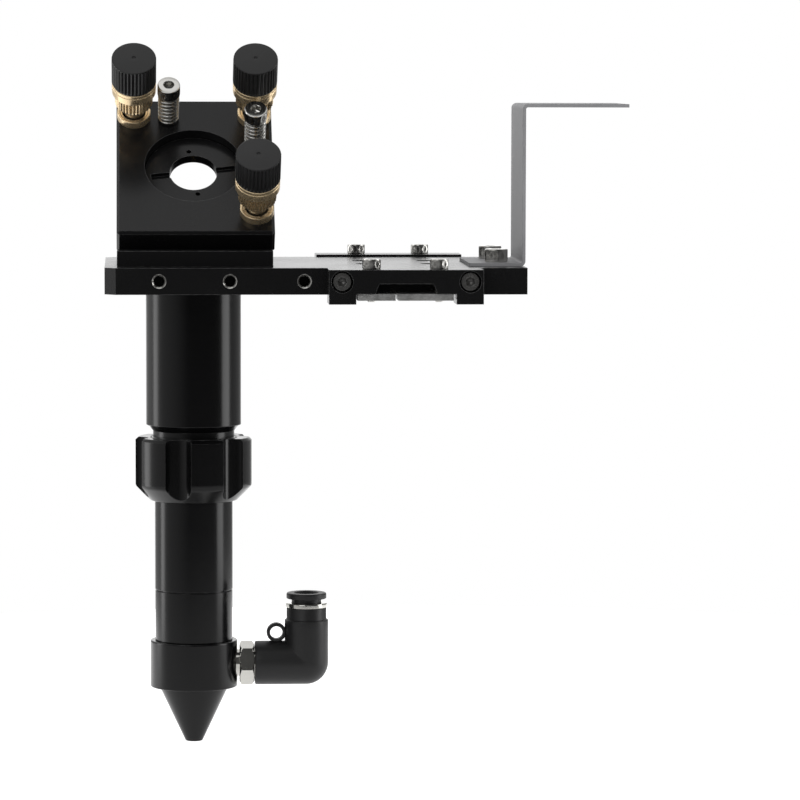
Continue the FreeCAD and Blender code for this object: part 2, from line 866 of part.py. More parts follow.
def air_ring():
    """Ring that feeds the assist air in, with the fitting's tapped hole in its right side."""
    outer = air_ring_diameter / 2
    socket = holder_tail / 2 + air_ring_play
    chamber = air_chamber / 2
    top = holder_bottom - air_ring_play
    floor = holder_bottom - holder_tail_length - drill_margin
    nozzle_socket = nozzle_spigot / 2 + nozzle_play
    ledge = air_ring_bottom + nozzle_spigot_length + drill_margin
    edge = air_ring_edge
    ring = on_beam_line([
        (socket, top), (outer - edge, top), (outer, top - edge),
        (outer, air_ring_bottom + edge), (outer - edge, air_ring_bottom), (nozzle_socket, air_ring_bottom),
        (nozzle_socket, ledge), (chamber, ledge), (chamber, floor), (socket, floor),
    ])
    port = Part.makeCylinder(
        fitting_thread / 2, fitting_thread_length + 1,
        Vector(tube_x + fitting_hex_start - fitting_thread_length, tube_y, fitting_z), Vector(1, 0, 0),
    )
    feed = Part.makeCylinder(
        fitting_bore / 2, fitting_hex_start, Vector(tube_x, tube_y, fitting_z), Vector(1, 0, 0),
    )
    return ring.cut([port, feed])


def nozzle():
    """Conical nozzle screwed into the air ring, with its tapering channel."""
    top, tip = nozzle_top / 2, nozzle_tip / 2
    spigot = nozzle_spigot / 2
    high = air_ring_bottom + nozzle_spigot_length
    low = air_ring_bottom - nozzle_length
    face = air_ring_bottom - nozzle_play
    inlet, orifice = nozzle_inlet / 2, nozzle_orifice / 2
    return on_beam_line([
        (inlet, high), (spigot, high), (spigot, face), (top, face), (tip, low), (orifice, low),
        (orifice, low + nozzle_orifice_length),
    ])


def along_x(shape, start):
    """Moves a shape built about +Z so that it lies along +X at the fitting's height."""
    copy = shape.copy()
    place = Placement(Vector(tube_x + start, tube_y, fitting_z), Rotation(Vector(0, 1, 0), 90))
    copy.Placement = place.multiply(shape.Placement)
    return copy


def hex_end():
    return fitting_hex_start + fitting_hex_length


def fitting_hex_body():
    """Plated fitting: thread into the air ring, hexagon, and the neck that the elbow turns on."""
    hex_length = fitting_hex_length
    edge = fitting_edge
    corner = fitting_hex / math.sqrt(3)
    bevel = turned([
        (0, 0), (corner - edge, 0), (corner, edge), (corner, hex_length - edge),
        (corner - edge, hex_length), (0, hex_length),
    ])
    hexagonal = hexagon(fitting_hex, 0, hex_length, fitting_hex_turn).common(bevel)
    start = -fitting_thread_length
    solid = hexagonal.fuse([
        cylinder(fitting_thread, start, 0),
        cylinder(fitting_neck, hex_length, hex_length + elbow_gap + fitting_neck_length),
    ])
    bore = cylinder(fitting_bore, start - 1, hex_length + elbow_gap + fitting_neck_length + 1)
    return along_x(solid.cut(bore).removeSplitter(), fitting_hex_start)


def elbow_top():
    return fitting_z + elbow_rise


def elbow_body():
    """Moulded elbow with its eyelet, the swivel socket on the hexagon's side and the hose socket."""
    start = hex_end() + elbow_gap
    corner = Vector(tube_x + elbow_reach, tube_y, fitting_z)
    radius = elbow_diameter / 2
    shoulder = elbow_top() - elbow_shoulder_length
    eyelet = Vector(tube_x + eyelet_x, tube_y - eyelet_thickness / 2, fitting_z + eyelet_rise)
    body = along_x(cylinder(elbow_diameter, 0, elbow_reach - start), start)
    body = body.fuse([
        Part.makeSphere(radius, corner),
        cylinder(elbow_diameter, fitting_z, shoulder, corner.x, corner.y),
        cylinder(elbow_shoulder, shoulder, elbow_top(), corner.x, corner.y),
        Part.makeCylinder(eyelet_diameter / 2, eyelet_thickness, eyelet, Vector(0, 1, 0)),
    ])
    sleeve_floor = elbow_top() - button_sleeve_depth()
    cuts = [
        hole_along_y(eyelet_hole, eyelet.x, eyelet.z, tube_y - eyelet_thickness, tube_y + eyelet_thickness),
        along_x(cylinder(fitting_neck + 2 * elbow_play, -1, fitting_neck_length + drill_margin), start),
        along_x(cylinder(fitting_bore, -1, elbow_reach - start), start),
        cylinder(button_sleeve + 2 * button_play, sleeve_floor, elbow_top() + 1, corner.x, corner.y),
        cylinder(hose_diameter, sleeve_floor - hose_depth, sleeve_floor + 1, corner.x, corner.y),
        cylinder(fitting_bore, fitting_z, elbow_top(), corner.x, corner.y),
    ]
    return body.cut(cuts).removeSplitter()


def button_sleeve_depth():
    return button_sleeve_length - button_gap - collet_ring_height + button_travel + drill_margin


def collet_ring():
    x = tube_x + elbow_reach
    bore = button_sleeve / 2 + button_play
    low, high = elbow_top(), elbow_top() + collet_ring_height
    rim, edge = collet_ring_diameter / 2, collet_ring_edge
    return turned([
        (bore, low), (rim - edge, low), (rim, low + edge), (rim, high - edge), (rim - edge, high),
        (bore, high),
    ], x, tube_y)


def release_button():
    x = tube_x + elbow_reach
    under = elbow_top() + collet_ring_height + button_gap
    high = under + button_flange_height
    rim, sleeve, bore = button_flange / 2, button_sleeve / 2, button_bore / 2
    edge = button_edge
    return turned([
        (bore, under - button_sleeve_length), (sleeve, under - button_sleeve_length), (sleeve, under),
        (rim, under), (rim, high - edge), (rim - edge, high), (bore + edge, high), (bore, high - edge),
    ], x, tube_y)


def nodes():
    parts = {
        "base_plate": base_plate(),
        "front_belt_block": belt_block(-1, 0.0),
        "rear_belt_block": belt_block(1, rear_block_rise),
        "front_block_screws": block_screws(-1),
        "rear_block_screws": block_screws(1),
        "front_clamp_screws": clamp_screws(-1, 0.0),
        "rear_clamp_screws": clamp_screws(1, rear_block_rise),
        "chain_bracket": chain_bracket(),
        "chain_bracket_screws": chain_bracket_screws(),
        "mirror_housing": mirror_housing(),
        "housing_screws": housing_screws(),
        "seat_pads": seat_pads(),
        "pivot_ball": pivot_ball(),
        "mirror_plate": mirror_plate(),
        "mirror_retaining_ring": mirror_retaining_ring(),
        "upper_tube": upper_tube(),
        "lock_ring": lock_ring(),
        "lens_tube": lens_tube(),
        "lens_holder": lens_holder(),
        "lens_seal": lens_seal(),
        "focus_lens": focus_lens(),
        "lens_retaining_ring": lens_retaining_ring(),
        "air_ring": air_ring(),
        "nozzle": nozzle(),
        "fitting_hex_body": fitting_hex_body(),
        "elbow_body": elbow_body(),
        "collet_ring": collet_ring(),
        "release_button": release_button(),
    }
    for side, edge in ((-1, "front"), (1, "rear")):
        parts[edge + "_clamp_narrow"] = clamp_plate(side, False)
        parts[edge + "_clamp_wide"] = clamp_plate(side, True)
    for number, (u, v) in enumerate(adjuster_places(), 1):
        tip_h = seat_h + tip_play + (ball_diameter / 2 if number == 2 else 0)
        parts["adjuster_%d_bush" % number] = on_plate(adjuster_bush(), u, v)
        parts["adjuster_%d_screw" % number] = on_plate(adjuster_screw(tip_h), u, v)
        parts["adjuster_%d_lock_nut" % number] = on_plate(lock_nut(), u, v)
        parts["adjuster_%d_collar" % number] = on_plate(adjuster_collar(), u, v)
        parts["adjuster_%d_knob" % number] = on_plate(adjuster_knob(), u, v)
    for number, (u, v) in enumerate(spring_places(), 1):
        parts["spring_screw_%d" % number] = on_plate(spring_screw(), u, v)
        parts["spring_%d" % number] = on_plate(compression_spring(), u, v)
    return parts


os.makedirs("parts", exist_ok=True)
for name, shape in nodes().items():
    shape.exportStep("parts/%s.step" % name)
    print(name, len(shape.Solids), round(shape.Volume, 2), shape.isValid())
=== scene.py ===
import json
import math

import bpy
import numpy as np
from mathutils import Matrix, Vector


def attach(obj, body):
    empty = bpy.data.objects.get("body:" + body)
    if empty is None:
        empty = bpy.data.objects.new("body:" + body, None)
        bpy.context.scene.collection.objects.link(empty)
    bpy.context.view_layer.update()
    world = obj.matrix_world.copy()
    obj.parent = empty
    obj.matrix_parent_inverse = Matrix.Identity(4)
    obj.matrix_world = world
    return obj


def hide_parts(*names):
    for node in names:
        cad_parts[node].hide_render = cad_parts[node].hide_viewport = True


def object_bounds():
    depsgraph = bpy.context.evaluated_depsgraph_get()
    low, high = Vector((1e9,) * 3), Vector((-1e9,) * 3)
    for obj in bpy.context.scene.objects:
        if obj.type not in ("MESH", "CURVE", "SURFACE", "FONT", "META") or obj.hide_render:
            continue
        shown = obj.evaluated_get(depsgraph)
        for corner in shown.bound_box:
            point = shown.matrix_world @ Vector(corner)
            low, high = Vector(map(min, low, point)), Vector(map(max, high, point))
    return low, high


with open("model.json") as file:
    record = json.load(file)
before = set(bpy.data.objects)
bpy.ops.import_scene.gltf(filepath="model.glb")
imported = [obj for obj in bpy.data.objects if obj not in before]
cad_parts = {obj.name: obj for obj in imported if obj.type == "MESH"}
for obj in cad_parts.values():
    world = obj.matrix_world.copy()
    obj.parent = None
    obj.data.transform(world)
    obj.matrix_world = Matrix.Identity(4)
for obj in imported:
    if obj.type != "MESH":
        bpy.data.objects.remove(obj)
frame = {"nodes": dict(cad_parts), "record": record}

# Laser cutting head: the CAD frame is dressed with turned, knurled and moulded pieces and their finishes.
# Piece sizes are in millimetres; meshes go into the scene in metres.

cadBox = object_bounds()
nodes = frame["nodes"]
tubeAxis = (-62.4, 6.5)      # the tube's vertical axis, x and y
beamHeight = 32.1
fullTurn = 2 * math.pi
millimetre = 0.001      # in metres
mirrorUp, mirrorDepth = 28.2, 8.0      # the mirror: up the plate, and under its face


def roundedProfile(corners, steps=5, closed=True):
    # Each corner (radius, height, cut) is cut back by its third number along both sides, and a curve of
    # second order joins the two cuts. A point just outside each cut keeps the flats' shading flat.
    corners = np.array(corners, float)
    spot, cut = corners[:, :2], corners[:, 2:3]
    before, after = np.roll(spot, 1, axis=0) - spot, np.roll(spot, -1, axis=0) - spot
    before /= np.linalg.norm(before, axis=1, keepdims=True)
    after /= np.linalg.norm(after, axis=1, keepdims=True)
    s = np.linspace(0, 1, steps)[None, :, None]
    start, end = (spot + before * cut)[:, None], (spot + after * cut)[:, None]
    curve = (1 - s) ** 2 * start + 2 * s * (1 - s) * spot[:, None] + s ** 2 * end
    lead, trail = start + (before * cut * 0.3)[:, None], end + (after * cut * 0.3)[:, None]
    points = np.concatenate([lead, curve, trail], axis=1)
    if not closed:      # the two ends of an open profile stay sharp and single
        return np.concatenate([spot[:1], points[1:-1].reshape(-1, 2), spot[-1:]])
    return points.reshape(-1, 2)


def revolved(profile, columns=128):
    # Surface of revolution: radius r and height z of the profile, turned through the angle a:
    # (r cos a, r sin a, z).
    angle = np.arange(columns) * fullTurn / columns
    radius, height = profile[:, :1], profile[:, 1:2]
    return np.stack([radius * np.cos(angle), radius * np.sin(angle), height + 0 * angle], axis=-1)


def quadGrid(rows, columns, ring):
    # Four corners of every cell of the grid; the last column joins the first, and in a ring the last row
    # joins the first row too.
    row = np.arange(rows if ring else rows - 1)[:, None]
    column = np.arange(columns)[None, :]
    below, side = (row + 1) % rows, (column + 1) % columns
    here, under = row * columns, below * columns
    cells = np.stack([here + column, here + side, under + side, under + column], -1)
    return cells.reshape(-1, 4)


def shell(points, ring=True):
    # Grid of points as vertices and faces. An open grid is closed at both ends by a fan to the mean of its
    # end row. The signed volume, a sum of triple products, says if the faces have to be turned round.
    rows, columns = points.shape[:2]
    vertices = points.reshape(-1, 3)
    quads = quadGrid(rows, columns, ring)
    fans = np.zeros((0, 3), int)
    if not ring:
        column = np.arange(columns)
        side = (column + 1) % columns
        last = (rows - 1) * columns
        first, final = len(vertices), len(vertices) + 1
        fans = np.concatenate([
            np.stack([side, column, column * 0 + first], -1),
            np.stack([last + column, last + side, column * 0 + final], -1),
        ])
        vertices = np.concatenate([vertices, points[0].mean(0)[None], points[-1].mean(0)[None]])
    corner = np.concatenate([quads[:, [0, 1, 2]], quads[:, [0, 2, 3]], fans])
    a, b, c = vertices[corner[:, 0]], vertices[corner[:, 1]], vertices[corner[:, 2]]
    if np.einsum("ij,ij->i", a, np.cross(b, c)).sum() < 0:
        quads, fans = quads[:, ::-1], fans[:, ::-1]
    return vertices, quads.tolist() + fans.tolist()


def joined(shells):
    # Several closed shells in one mesh: the faces of each are counted on from the ones before.
    counts = np.cumsum([0] + [len(vertices) for vertices, faces in shells])
    vertices = np.concatenate([vertices for vertices, faces in shells])
    faces = [
        [corner + int(start) for corner in face]
        for start, (_, group) in zip(counts, shells) for face in group
    ]
    return vertices, faces


def moved(points, place):
    # Every point times a 4 by 4 placement.
    place = np.array(place, float)
    return points @ place[:3, :3].T + place[:3, 3]


def placeAt(x, y, z, turn=None):
    return Matrix.Translation((x, y, z)) @ (turn or Matrix.Identity(4))


def onPlate(u, v, h):
    # The mirror plate's own frame: u across it, v up its 45 degree slope, h out of its face.
    lean = Matrix.Rotation(math.radians(45), 4, "X")
    along = Matrix.Translation((u, v - mirrorUp, h + mirrorDepth))
    return placeAt(tubeAxis[0], tubeAxis[1], beamHeight) @ lean @ along


def piece(name, shells, body, replaced, finish, sharp=32):
    # A mesh object with its place in its mesh, in metres, riding on a body and standing for CAD nodes.
    vertices, faces = joined(shells)
    mesh = bpy.data.meshes.new(name)
    mesh.from_pydata((vertices * millimetre).tolist(), [], faces)
    mesh.polygons.foreach_set("use_smooth", np.ones(len(faces), bool))
    mesh.set_sharp_from_angle(angle=math.radians(sharp))
    mesh.update()
    made = bpy.data.objects.new(name, mesh)
    bpy.context.scene.collection.objects.link(made)
    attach(made, body)
    if replaced:
        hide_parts(*replaced)
    mesh.materials.append(finishes[finish])
    return made


# Fitted to edges of the object in the photograph's 800 pixel frame.
camera = {
    "x": -82.54, "y": -1288.17, "z": 69.24,
    "yaw": 3.722, "pitch": 4.601, "roll": 0.138, "focalPixels": 4187.6,
}


def makeCamera(values):
    # Forward from yaw towards +X and pitch downwards; the roll turns right and up about forward.
    yaw, pitch, roll = (math.radians(values[key]) for key in ("yaw", "pitch", "roll"))
    forward = Vector((math.sin(yaw) * math.cos(pitch), math.cos(yaw) * math.cos(pitch), -math.sin(pitch)))
    level = Vector((math.cos(yaw), -math.sin(yaw), 0))
    upright = level.cross(forward)
    right = level * math.cos(roll) + upright * math.sin(roll)
    up = upright * math.cos(roll) - level * math.sin(roll)
    data = bpy.data.cameras.new("viewCamera")
    pictureWidth, sensorWidth = 800, 36.0      # the photograph's pixels, millimetres
    data.sensor_width = sensorWidth
    data.lens = values["focalPixels"] / pictureWidth * sensorWidth
    data.clip_start, data.clip_end = 0.05, 60.0
    view = bpy.data.objects.new("viewCamera", data)
    bpy.context.scene.collection.objects.link(view)
    turn = Matrix((right, up, -forward)).transposed().to_4x4()
    view.matrix_world = placeAt(values["x"] / 1000, values["y"] / 1000, values["z"] / 1000, turn)
    bpy.context.scene.camera = view


makeCamera(camera)
print("camera set")


def newGroup(name, inputs, outputs):
    group = bpy.data.node_groups.new(name, "ShaderNodeTree")
    for label, kind, value in inputs:
        socket = group.interface.new_socket(name=label, in_out="INPUT", socket_type="NodeSocket" + kind)
        if value is not None:
            socket.default_value = value
    for label, kind in outputs:
        group.interface.new_socket(name=label, in_out="OUTPUT", socket_type="NodeSocket" + kind)
    return group, group.nodes.new("NodeGroupInput"), group.nodes.new("NodeGroupOutput")


def node(tree, kind, **settings):
    # A node with its settings; a setting whose name is an input's is set on that input.
    made = tree.nodes.new(kind)
    for key, value in settings.items():
        if hasattr(made, key):
            setattr(made, key, value)
        else:
            made.inputs[key.replace("_", " ")].default_value = value
    return made


def link(tree, source, target):
    tree.links.new(source, target)


def math2(tree, operation, first, second, clamp=False):
    made = tree.nodes.new("ShaderNodeMath")
    made.operation, made.use_clamp = operation, clamp
    for socket, value in zip(made.inputs, (first, second)):
        if isinstance(value, (int, float)):
            socket.default_value = value
        else:
            link(tree, value, socket)
    return made.outputs[0]


def ranged(tree, value, low, high, toLow, toHigh):
    made = tree.nodes.new("ShaderNodeMapRange")
    for key, number in (("From Min", low), ("From Max", high), ("To Min", toLow), ("To Max", toHigh)):
        if isinstance(number, (int, float)):
            made.inputs[key].default_value = number
        else:
            link(tree, number, made.inputs[key])
    link(tree, value, made.inputs["Value"])
    return made.outputs["Result"]


def mixedColour(tree, factor, first, second, blend="MIX"):
    made = tree.nodes.new("ShaderNodeMix")
    made.data_type, made.blend_type = "RGBA", blend
    for socket, value in zip((made.inputs[0], made.inputs[6], made.inputs[7]), (factor, first, second)):
        if isinstance(value, (int, float, tuple)):
            socket.default_value = value
        else:
            link(tree, value, socket)
    return made.outputs[2]


def grainGroup():
    # Fine blasted or moulded grain: small noise for the height, broad clouds for colour and roughness.
    group, give, take = newGroup("surfaceGrain", [
        ("Vector", "Vector", None), ("Colour", "Color", (0.5, 0.5, 0.5, 1)), ("Grain", "Float", 3000.0),
        ("Clouds", "Float", 60.0), ("Spread", "Float", 0.15),
        ("Roughness", "Float", 0.4), ("Rough spread", "Float", 0.06),
    ], [("Colour", "Color"), ("Roughness", "Float"), ("Height", "Float")])
    fine = node(group, "ShaderNodeTexNoise", Detail=3.0, Roughness=0.6)
    broad = node(group, "ShaderNodeTexNoise", Detail=4.0, Roughness=0.55)
    for noise, scale in ((fine, "Grain"), (broad, "Clouds")):
        link(group, give.outputs["Vector"], noise.inputs["Vector"])
        link(group, give.outputs[scale], noise.inputs["Scale"])
    fineShare = math2(group, "MULTIPLY", fine.outputs[0], 0.45)
    both = math2(group, "ADD", fineShare, math2(group, "MULTIPLY", broad.outputs[0], 0.55))
    centred = math2(group, "MULTIPLY", math2(group, "SUBTRACT", both, 0.5), 4.0)
    tone = math2(group, "ADD", math2(group, "MULTIPLY", centred, give.outputs["Spread"]), 1.0)
    shade = group.nodes.new("ShaderNodeCombineColor")
    for channel in shade.inputs[:3]:
        link(group, tone, channel)
    toned = mixedColour(group, 1.0, give.outputs["Colour"], shade.outputs[0], "MULTIPLY")
    link(group, toned, take.inputs["Colour"])
    roughShift = math2(group, "MULTIPLY", centred, give.outputs["Rough spread"])
    rough = math2(group, "ADD", give.outputs["Roughness"], roughShift)
    link(group, rough, take.inputs["Roughness"])
    link(group, fine.outputs[0], take.inputs["Height"])
    return group


def edgeGroup():
    # Painted edge highlight: a colour mask that rises where the surface rounded off by the radius faces
    # another way than the flat one, made patchy by noise; most finishes give it a light colour, the bracket
    # paint a dark one. The rounded normal is put out as well.
    group, give, take = newGroup("edgeTint", [
        ("Radius", "Float", 0.0002), ("Amount", "Float", 1.0), ("Vector", "Vector", None),
    ], [("Mask", "Float"), ("Normal", "Vector")])
    rounded = group.nodes.new("ShaderNodeBevel")
    rounded.samples = 4
    link(group, give.outputs["Radius"], rounded.inputs["Radius"])
    flat = group.nodes.new("ShaderNodeNewGeometry")
    facing = group.nodes.new("ShaderNodeVectorMath")
    facing.operation = "DOT_PRODUCT"
    link(group, rounded.outputs[0], facing.inputs[0])
    link(group, flat.outputs["Normal"], facing.inputs[1])
    edge = ranged(group, facing.outputs["Value"], 0.97, 0.72, 0.0, 1.0)
    spots = node(group, "ShaderNodeTexNoise", Scale=700.0, Detail=3.0)
    link(group, give.outputs["Vector"], spots.inputs["Vector"])
    worn = math2(group, "MULTIPLY", edge, ranged(group, spots.outputs[0], 0.35, 0.65, 0.25, 1.0))
    link(group, math2(group, "MULTIPLY", worn, give.outputs["Amount"], True), take.inputs["Mask"])
    link(group, rounded.outputs[0], take.inputs["Normal"])
    return group


def turnedGroup():
    # Lathe lines: noise stretched round the piece, so that it changes only along the turning axis.
    group, give, take = newGroup("latheLines", [
        ("Vector", "Vector", None), ("Lines", "Float", 9000.0),
        ("Roughness", "Float", 0.25), ("Rough spread", "Float", 0.08),
    ], [("Roughness", "Float"), ("Height", "Float")])
    split = group.nodes.new("ShaderNodeSeparateXYZ")
    link(group, give.outputs["Vector"], split.inputs[0])
    along = group.nodes.new("ShaderNodeCombineXYZ")
    link(group, math2(group, "MULTIPLY", split.outputs["Z"], give.outputs["Lines"]), along.inputs["Z"])
    link(group, math2(group, "MULTIPLY", split.outputs["X"], 40.0), along.inputs["X"])
    link(group, math2(group, "MULTIPLY", split.outputs["Y"], 40.0), along.inputs["Y"])
    lines = node(group, "ShaderNodeTexNoise", Scale=1.0, Detail=2.0)
    link(group, along.outputs[0], lines.inputs["Vector"])
    around = math2(group, "SUBTRACT", lines.outputs[0], 0.5)
    spread = math2(group, "MULTIPLY", around, give.outputs["Rough spread"])
    link(group, math2(group, "ADD", give.outputs["Roughness"], spread), take.inputs["Roughness"])
    link(group, lines.outputs[0], take.inputs["Height"])
    return group


grain, edges, lathe = grainGroup(), edgeGroup(), turnedGroup()


finishValues = {
    # edge colour and share below: a painted highlight along the edges
    "black_anodised": {
        "colour": (0.0065, 0.0065, 0.0068), "spread": 0.10, "grain": 5200, "clouds": 45, "roughness": 0.26,
        "roughSpread": 0.05, "bump": 0.05, "depth": 0.00002, "edge": 0.00030, "wear": 0.75,
        "wornColour": (0.28, 0.28, 0.28), "specular": 0.34, "metallic": 0.0,
    },
    # edge colour and share below: a painted highlight along the edges
    "black_gloss_anodised": {
        "colour": (0.0030, 0.0030, 0.0033), "spread": 0.08, "grain": 4000, "clouds": 30, "roughness": 0.20,
        "roughSpread": 0.03, "lathe": 7000, "bump": 0.05, "depth": 0.00001, "edge": 0.00020, "wear": 0.6,
        "wornColour": (0.22, 0.22, 0.22), "specular": 0.36, "metallic": 0.0,
    },
    "bright_screw_steel": {
        "colour": (0.66, 0.65, 0.62), "spread": 0.10, "grain": 2500, "clouds": 300, "roughness": 0.16,
        "roughSpread": 0.06, "bump": 0.04, "depth": 0.00001, "metallic": 1.0,
    },
    "dark_screw_steel": {
        "colour": (0.12, 0.118, 0.114), "spread": 0.25, "grain": 2500, "clouds": 400, "roughness": 0.26,
        "roughSpread": 0.08, "bump": 0.06, "depth": 0.00001, "specular": 0.7, "metallic": 0.5,
    },
    "spring_steel": {
        "colour": (0.66, 0.65, 0.62), "spread": 0.10, "grain": 2500, "clouds": 500, "roughness": 0.20,
        "roughSpread": 0.06, "bump": 0.03, "depth": 0.00001, "metallic": 1.0,
    },
    "adjuster_steel": {
        "colour": (0.50, 0.49, 0.47), "spread": 0.10, "grain": 2500, "clouds": 300, "roughness": 0.28,
        "roughSpread": 0.05, "bump": 0.04, "depth": 0.00001, "metallic": 1.0,
    },
    # edge colour and share below: a painted highlight along the edges
    "clamp_steel": {
        "colour": (0.52, 0.52, 0.51), "spread": 0.30, "grain": 1300, "clouds": 260, "roughness": 0.42,
        "roughSpread": 0.12, "bump": 0.45, "depth": 0.00008, "edge": 0.00015, "wear": 0.5,
        "wornColour": (0.75, 0.75, 0.74), "metallic": 0.85,
    },
    # edge colour and share below: the paint is darker along the edges
    "bracket_paint": {
        "colour": (0.30, 0.30, 0.31), "spread": 0.16, "grain": 2600, "clouds": 90, "roughness": 0.52,
        "roughSpread": 0.05, "bump": 0.30, "depth": 0.00004, "edge": 0.00018, "wear": 0.8,
        "wornColour": (0.035, 0.035, 0.037), "specular": 0.35, "metallic": 0.0,
    },
    "brass": {
        "colour": (0.95, 0.74, 0.46), "spread": 0.10, "grain": 2600, "clouds": 350, "roughness": 0.28,
        "roughSpread": 0.06, "bump": 0.06, "depth": 0.00001, "metallic": 0.87, "specular": 0.9,
    },
    "knob_plastic": {
        "colour": (0.0150, 0.0150, 0.0152), "spread": 0.12, "grain": 4200, "clouds": 120, "roughness": 0.34,
        "roughSpread": 0.06, "bump": 0.08, "depth": 0.00002, "specular": 0.36, "metallic": 0.0,
    },
    "lens_optic": {"glass": (0.93, 0.62, 0.22), "roughness": 0.03, "ior": 2.4},
    "seal_rubber": {
        "colour": (0.015, 0.015, 0.015), "spread": 0.15, "grain": 3000, "clouds": 150, "roughness": 0.65,
        "roughSpread": 0.06, "bump": 0.10, "depth": 0.00002, "specular": 0.3, "metallic": 0.0,
    },
    "nickel_plate": {
        "colour": (0.70, 0.69, 0.65), "spread": 0.06, "grain": 2500, "clouds": 200, "roughness": 0.14,
        "roughSpread": 0.05, "bump": 0.03, "depth": 0.00001, "metallic": 1.0,
    },
    "elbow_plastic": {
        "colour": (0.0130, 0.0130, 0.0135), "spread": 0.12, "grain": 3600, "clouds": 90, "roughness": 0.42,
        "roughSpread": 0.06, "bump": 0.10, "depth": 0.00002, "specular": 0.45, "metallic": 0.0,
    },
}


def makeFinish(name, values):
    material = bpy.data.materials.new(name)
    material.use_nodes = True
    tree = material.node_tree
    surface = tree.nodes["Principled BSDF"]
    place = tree.nodes.new("ShaderNodeTexCoord").outputs["Object"]
    if "glass" in values:      # coated infrared lens
        surface.inputs["Transmission Weight"].default_value = 1.0
        surface.inputs["IOR"].default_value = values["ior"]
        surface.inputs["Roughness"].default_value = values["roughness"]
        sheen = node(tree, "ShaderNodeTexNoise", Scale=120.0, Detail=2.0)
        link(tree, place, sheen.inputs["Vector"])
        light, deep = (*values["glass"], 1), (*(0.86 * channel for channel in values["glass"]), 1)
        link(tree, mixedColour(tree, sheen.outputs[0], light, deep), surface.inputs["Base Color"])
        return material
    texture = tree.nodes.new("ShaderNodeGroup")
    texture.node_tree = grain
    link(tree, place, texture.inputs["Vector"])
    texture.inputs["Colour"].default_value = (*values["colour"], 1)
    for key, label in (
        ("grain", "Grain"), ("clouds", "Clouds"), ("spread", "Spread"), ("roughness", "Roughness"),
        ("roughSpread", "Rough spread"),
    ):
        texture.inputs[label].default_value = values[key]
    colour, rough, height = (texture.outputs[key] for key in ("Colour", "Roughness", "Height"))
    if "lathe" in values:
        lines = tree.nodes.new("ShaderNodeGroup")
        lines.node_tree = lathe
        link(tree, place, lines.inputs["Vector"])
        lines.inputs["Lines"].default_value = values["lathe"]
        link(tree, rough, lines.inputs["Roughness"])
        rough, height = lines.outputs["Roughness"], lines.outputs["Height"]
    raised = tree.nodes.new("ShaderNodeBump")
    raised.inputs["Strength"].default_value = values["bump"]
    raised.inputs["Distance"].default_value = values["depth"]
    link(tree, height, raised.inputs["Height"])
    # the edge mask mixes the edge colour into the base colour: a painted highlight on most finishes, darker
    # edges on the bracket paint
    if "edge" in values:
        worn = tree.nodes.new("ShaderNodeGroup")
        worn.node_tree = edges
        link(tree, place, worn.inputs["Vector"])
        worn.inputs["Radius"].default_value = values["edge"]
        worn.inputs["Amount"].default_value = values["wear"]
        colour = mixedColour(tree, worn.outputs["Mask"], colour, (*values["wornColour"], 1))
        link(tree, worn.outputs["Normal"], raised.inputs["Normal"])
    link(tree, colour, surface.inputs["Base Color"])
    link(tree, rough, surface.inputs["Roughness"])
    link(tree, raised.outputs[0], surface.inputs["Normal"])
    surface.inputs["Metallic"].default_value = values["metallic"]
    if "specular" in values:
        surface.inputs["Specular IOR Level"].default_value = values["specular"]
    return material


finishes = {name: makeFinish(name, values) for name, values in finishValues.items()}
slotOf = {part["node"]: part["material_slot"] for part in frame["record"]["subparts"]}
for name, cadNode in nodes.items():
    cadNode.data.materials.clear()
    cadNode.data.materials.append(finishes[slotOf[name]])
print("finishes made:", len(finishes))


adjusters = {
    "places": {1: (-18.2, 49.0), 2: (19.0, 49.0), 3: (19.0, 8.5)},      # u, v on the plate
    "knobLow": 15.6, "knobHigh": 25.8, "knobRadius": 6.85, "ribs": 36, "ribDepth": 0.42,
    "crown": 0.3, "topEdge": 0.35,
    "nutLow": 6.0, "nutHigh": 11.2, "nutRadius": 5.8, "nutBore": 3.25, "teeth": 34, "toothDepth": 0.45,
    "collarLow": 11.25, "collarHigh": 15.6, "collarRadius": 6.8,
    "flangeHeight": 2.5, "flangeRadius": 5.2, "bodyRadius": 4.4, "bodyBottom": -9.0, "bore": 3.6,
    "shaft": 3.2, "tip": 1.8, "tipLength": 1.6, "tipBottom": -10.95, "ballRise": 2.5,
}


def knobSurface(values):
    # Profile turned about the axis. On the side, the radius falls by ribDepth times a rounded groove,
    # (1 - |cos(half the rib count times a)|) raised to 0.8, faded out near both ends. The top is a low crown
    # with a small moulded dimple.
    low, high, rim = values["knobLow"], values["knobHigh"], values["knobRadius"]
    crown, edge = high - values["crown"], values["topEdge"]
    side = np.linspace(low + 0.3, crown - edge, 26)
    s = np.linspace(0, 1, 8)[1:]
    bend = s * math.pi / 2
    shoulder = np.stack([rim - edge * (1 - np.cos(bend)), crown - edge + edge * np.sin(bend)], -1)
    top = np.array([
        [6.2, crown + 0.02], [5.0, crown + 0.1], [3.6, crown + 0.18], [2.0, crown + 0.26],
        [0.75, high], [0.62, high - 0.02],
        [0.55, high - 0.2], [0.45, high - 0.3], [0.2, high - 0.32],
    ])
    profile = np.concatenate([
        [[0.6, low], [5.9, low], [6.3, low], [rim - 0.12, low + 0.1]],
        np.stack([side * 0 + rim, side], -1), shoulder, top,
    ])
    columns = values["ribs"] * 14
    points = revolved(profile, columns)
    angle = np.arange(columns) * fullTurn / columns
    groove = (1 - np.abs(np.cos(values["ribs"] * angle / 2))) ** 0.8
    rise = np.clip((profile[:, 1] - low - 0.25) / 0.5, 0, 1)
    rise = rise * np.clip((crown - 0.12 - profile[:, 1]) / 0.4, 0, 1)
    rise = rise * (profile[:, 0] > rim - edge)
    scale = 1 - (values["ribDepth"] * rise[:, None] * groove[None, :]) / np.maximum(profile[:, :1], 1)
    points[..., :2] *= scale[..., None]
    return points


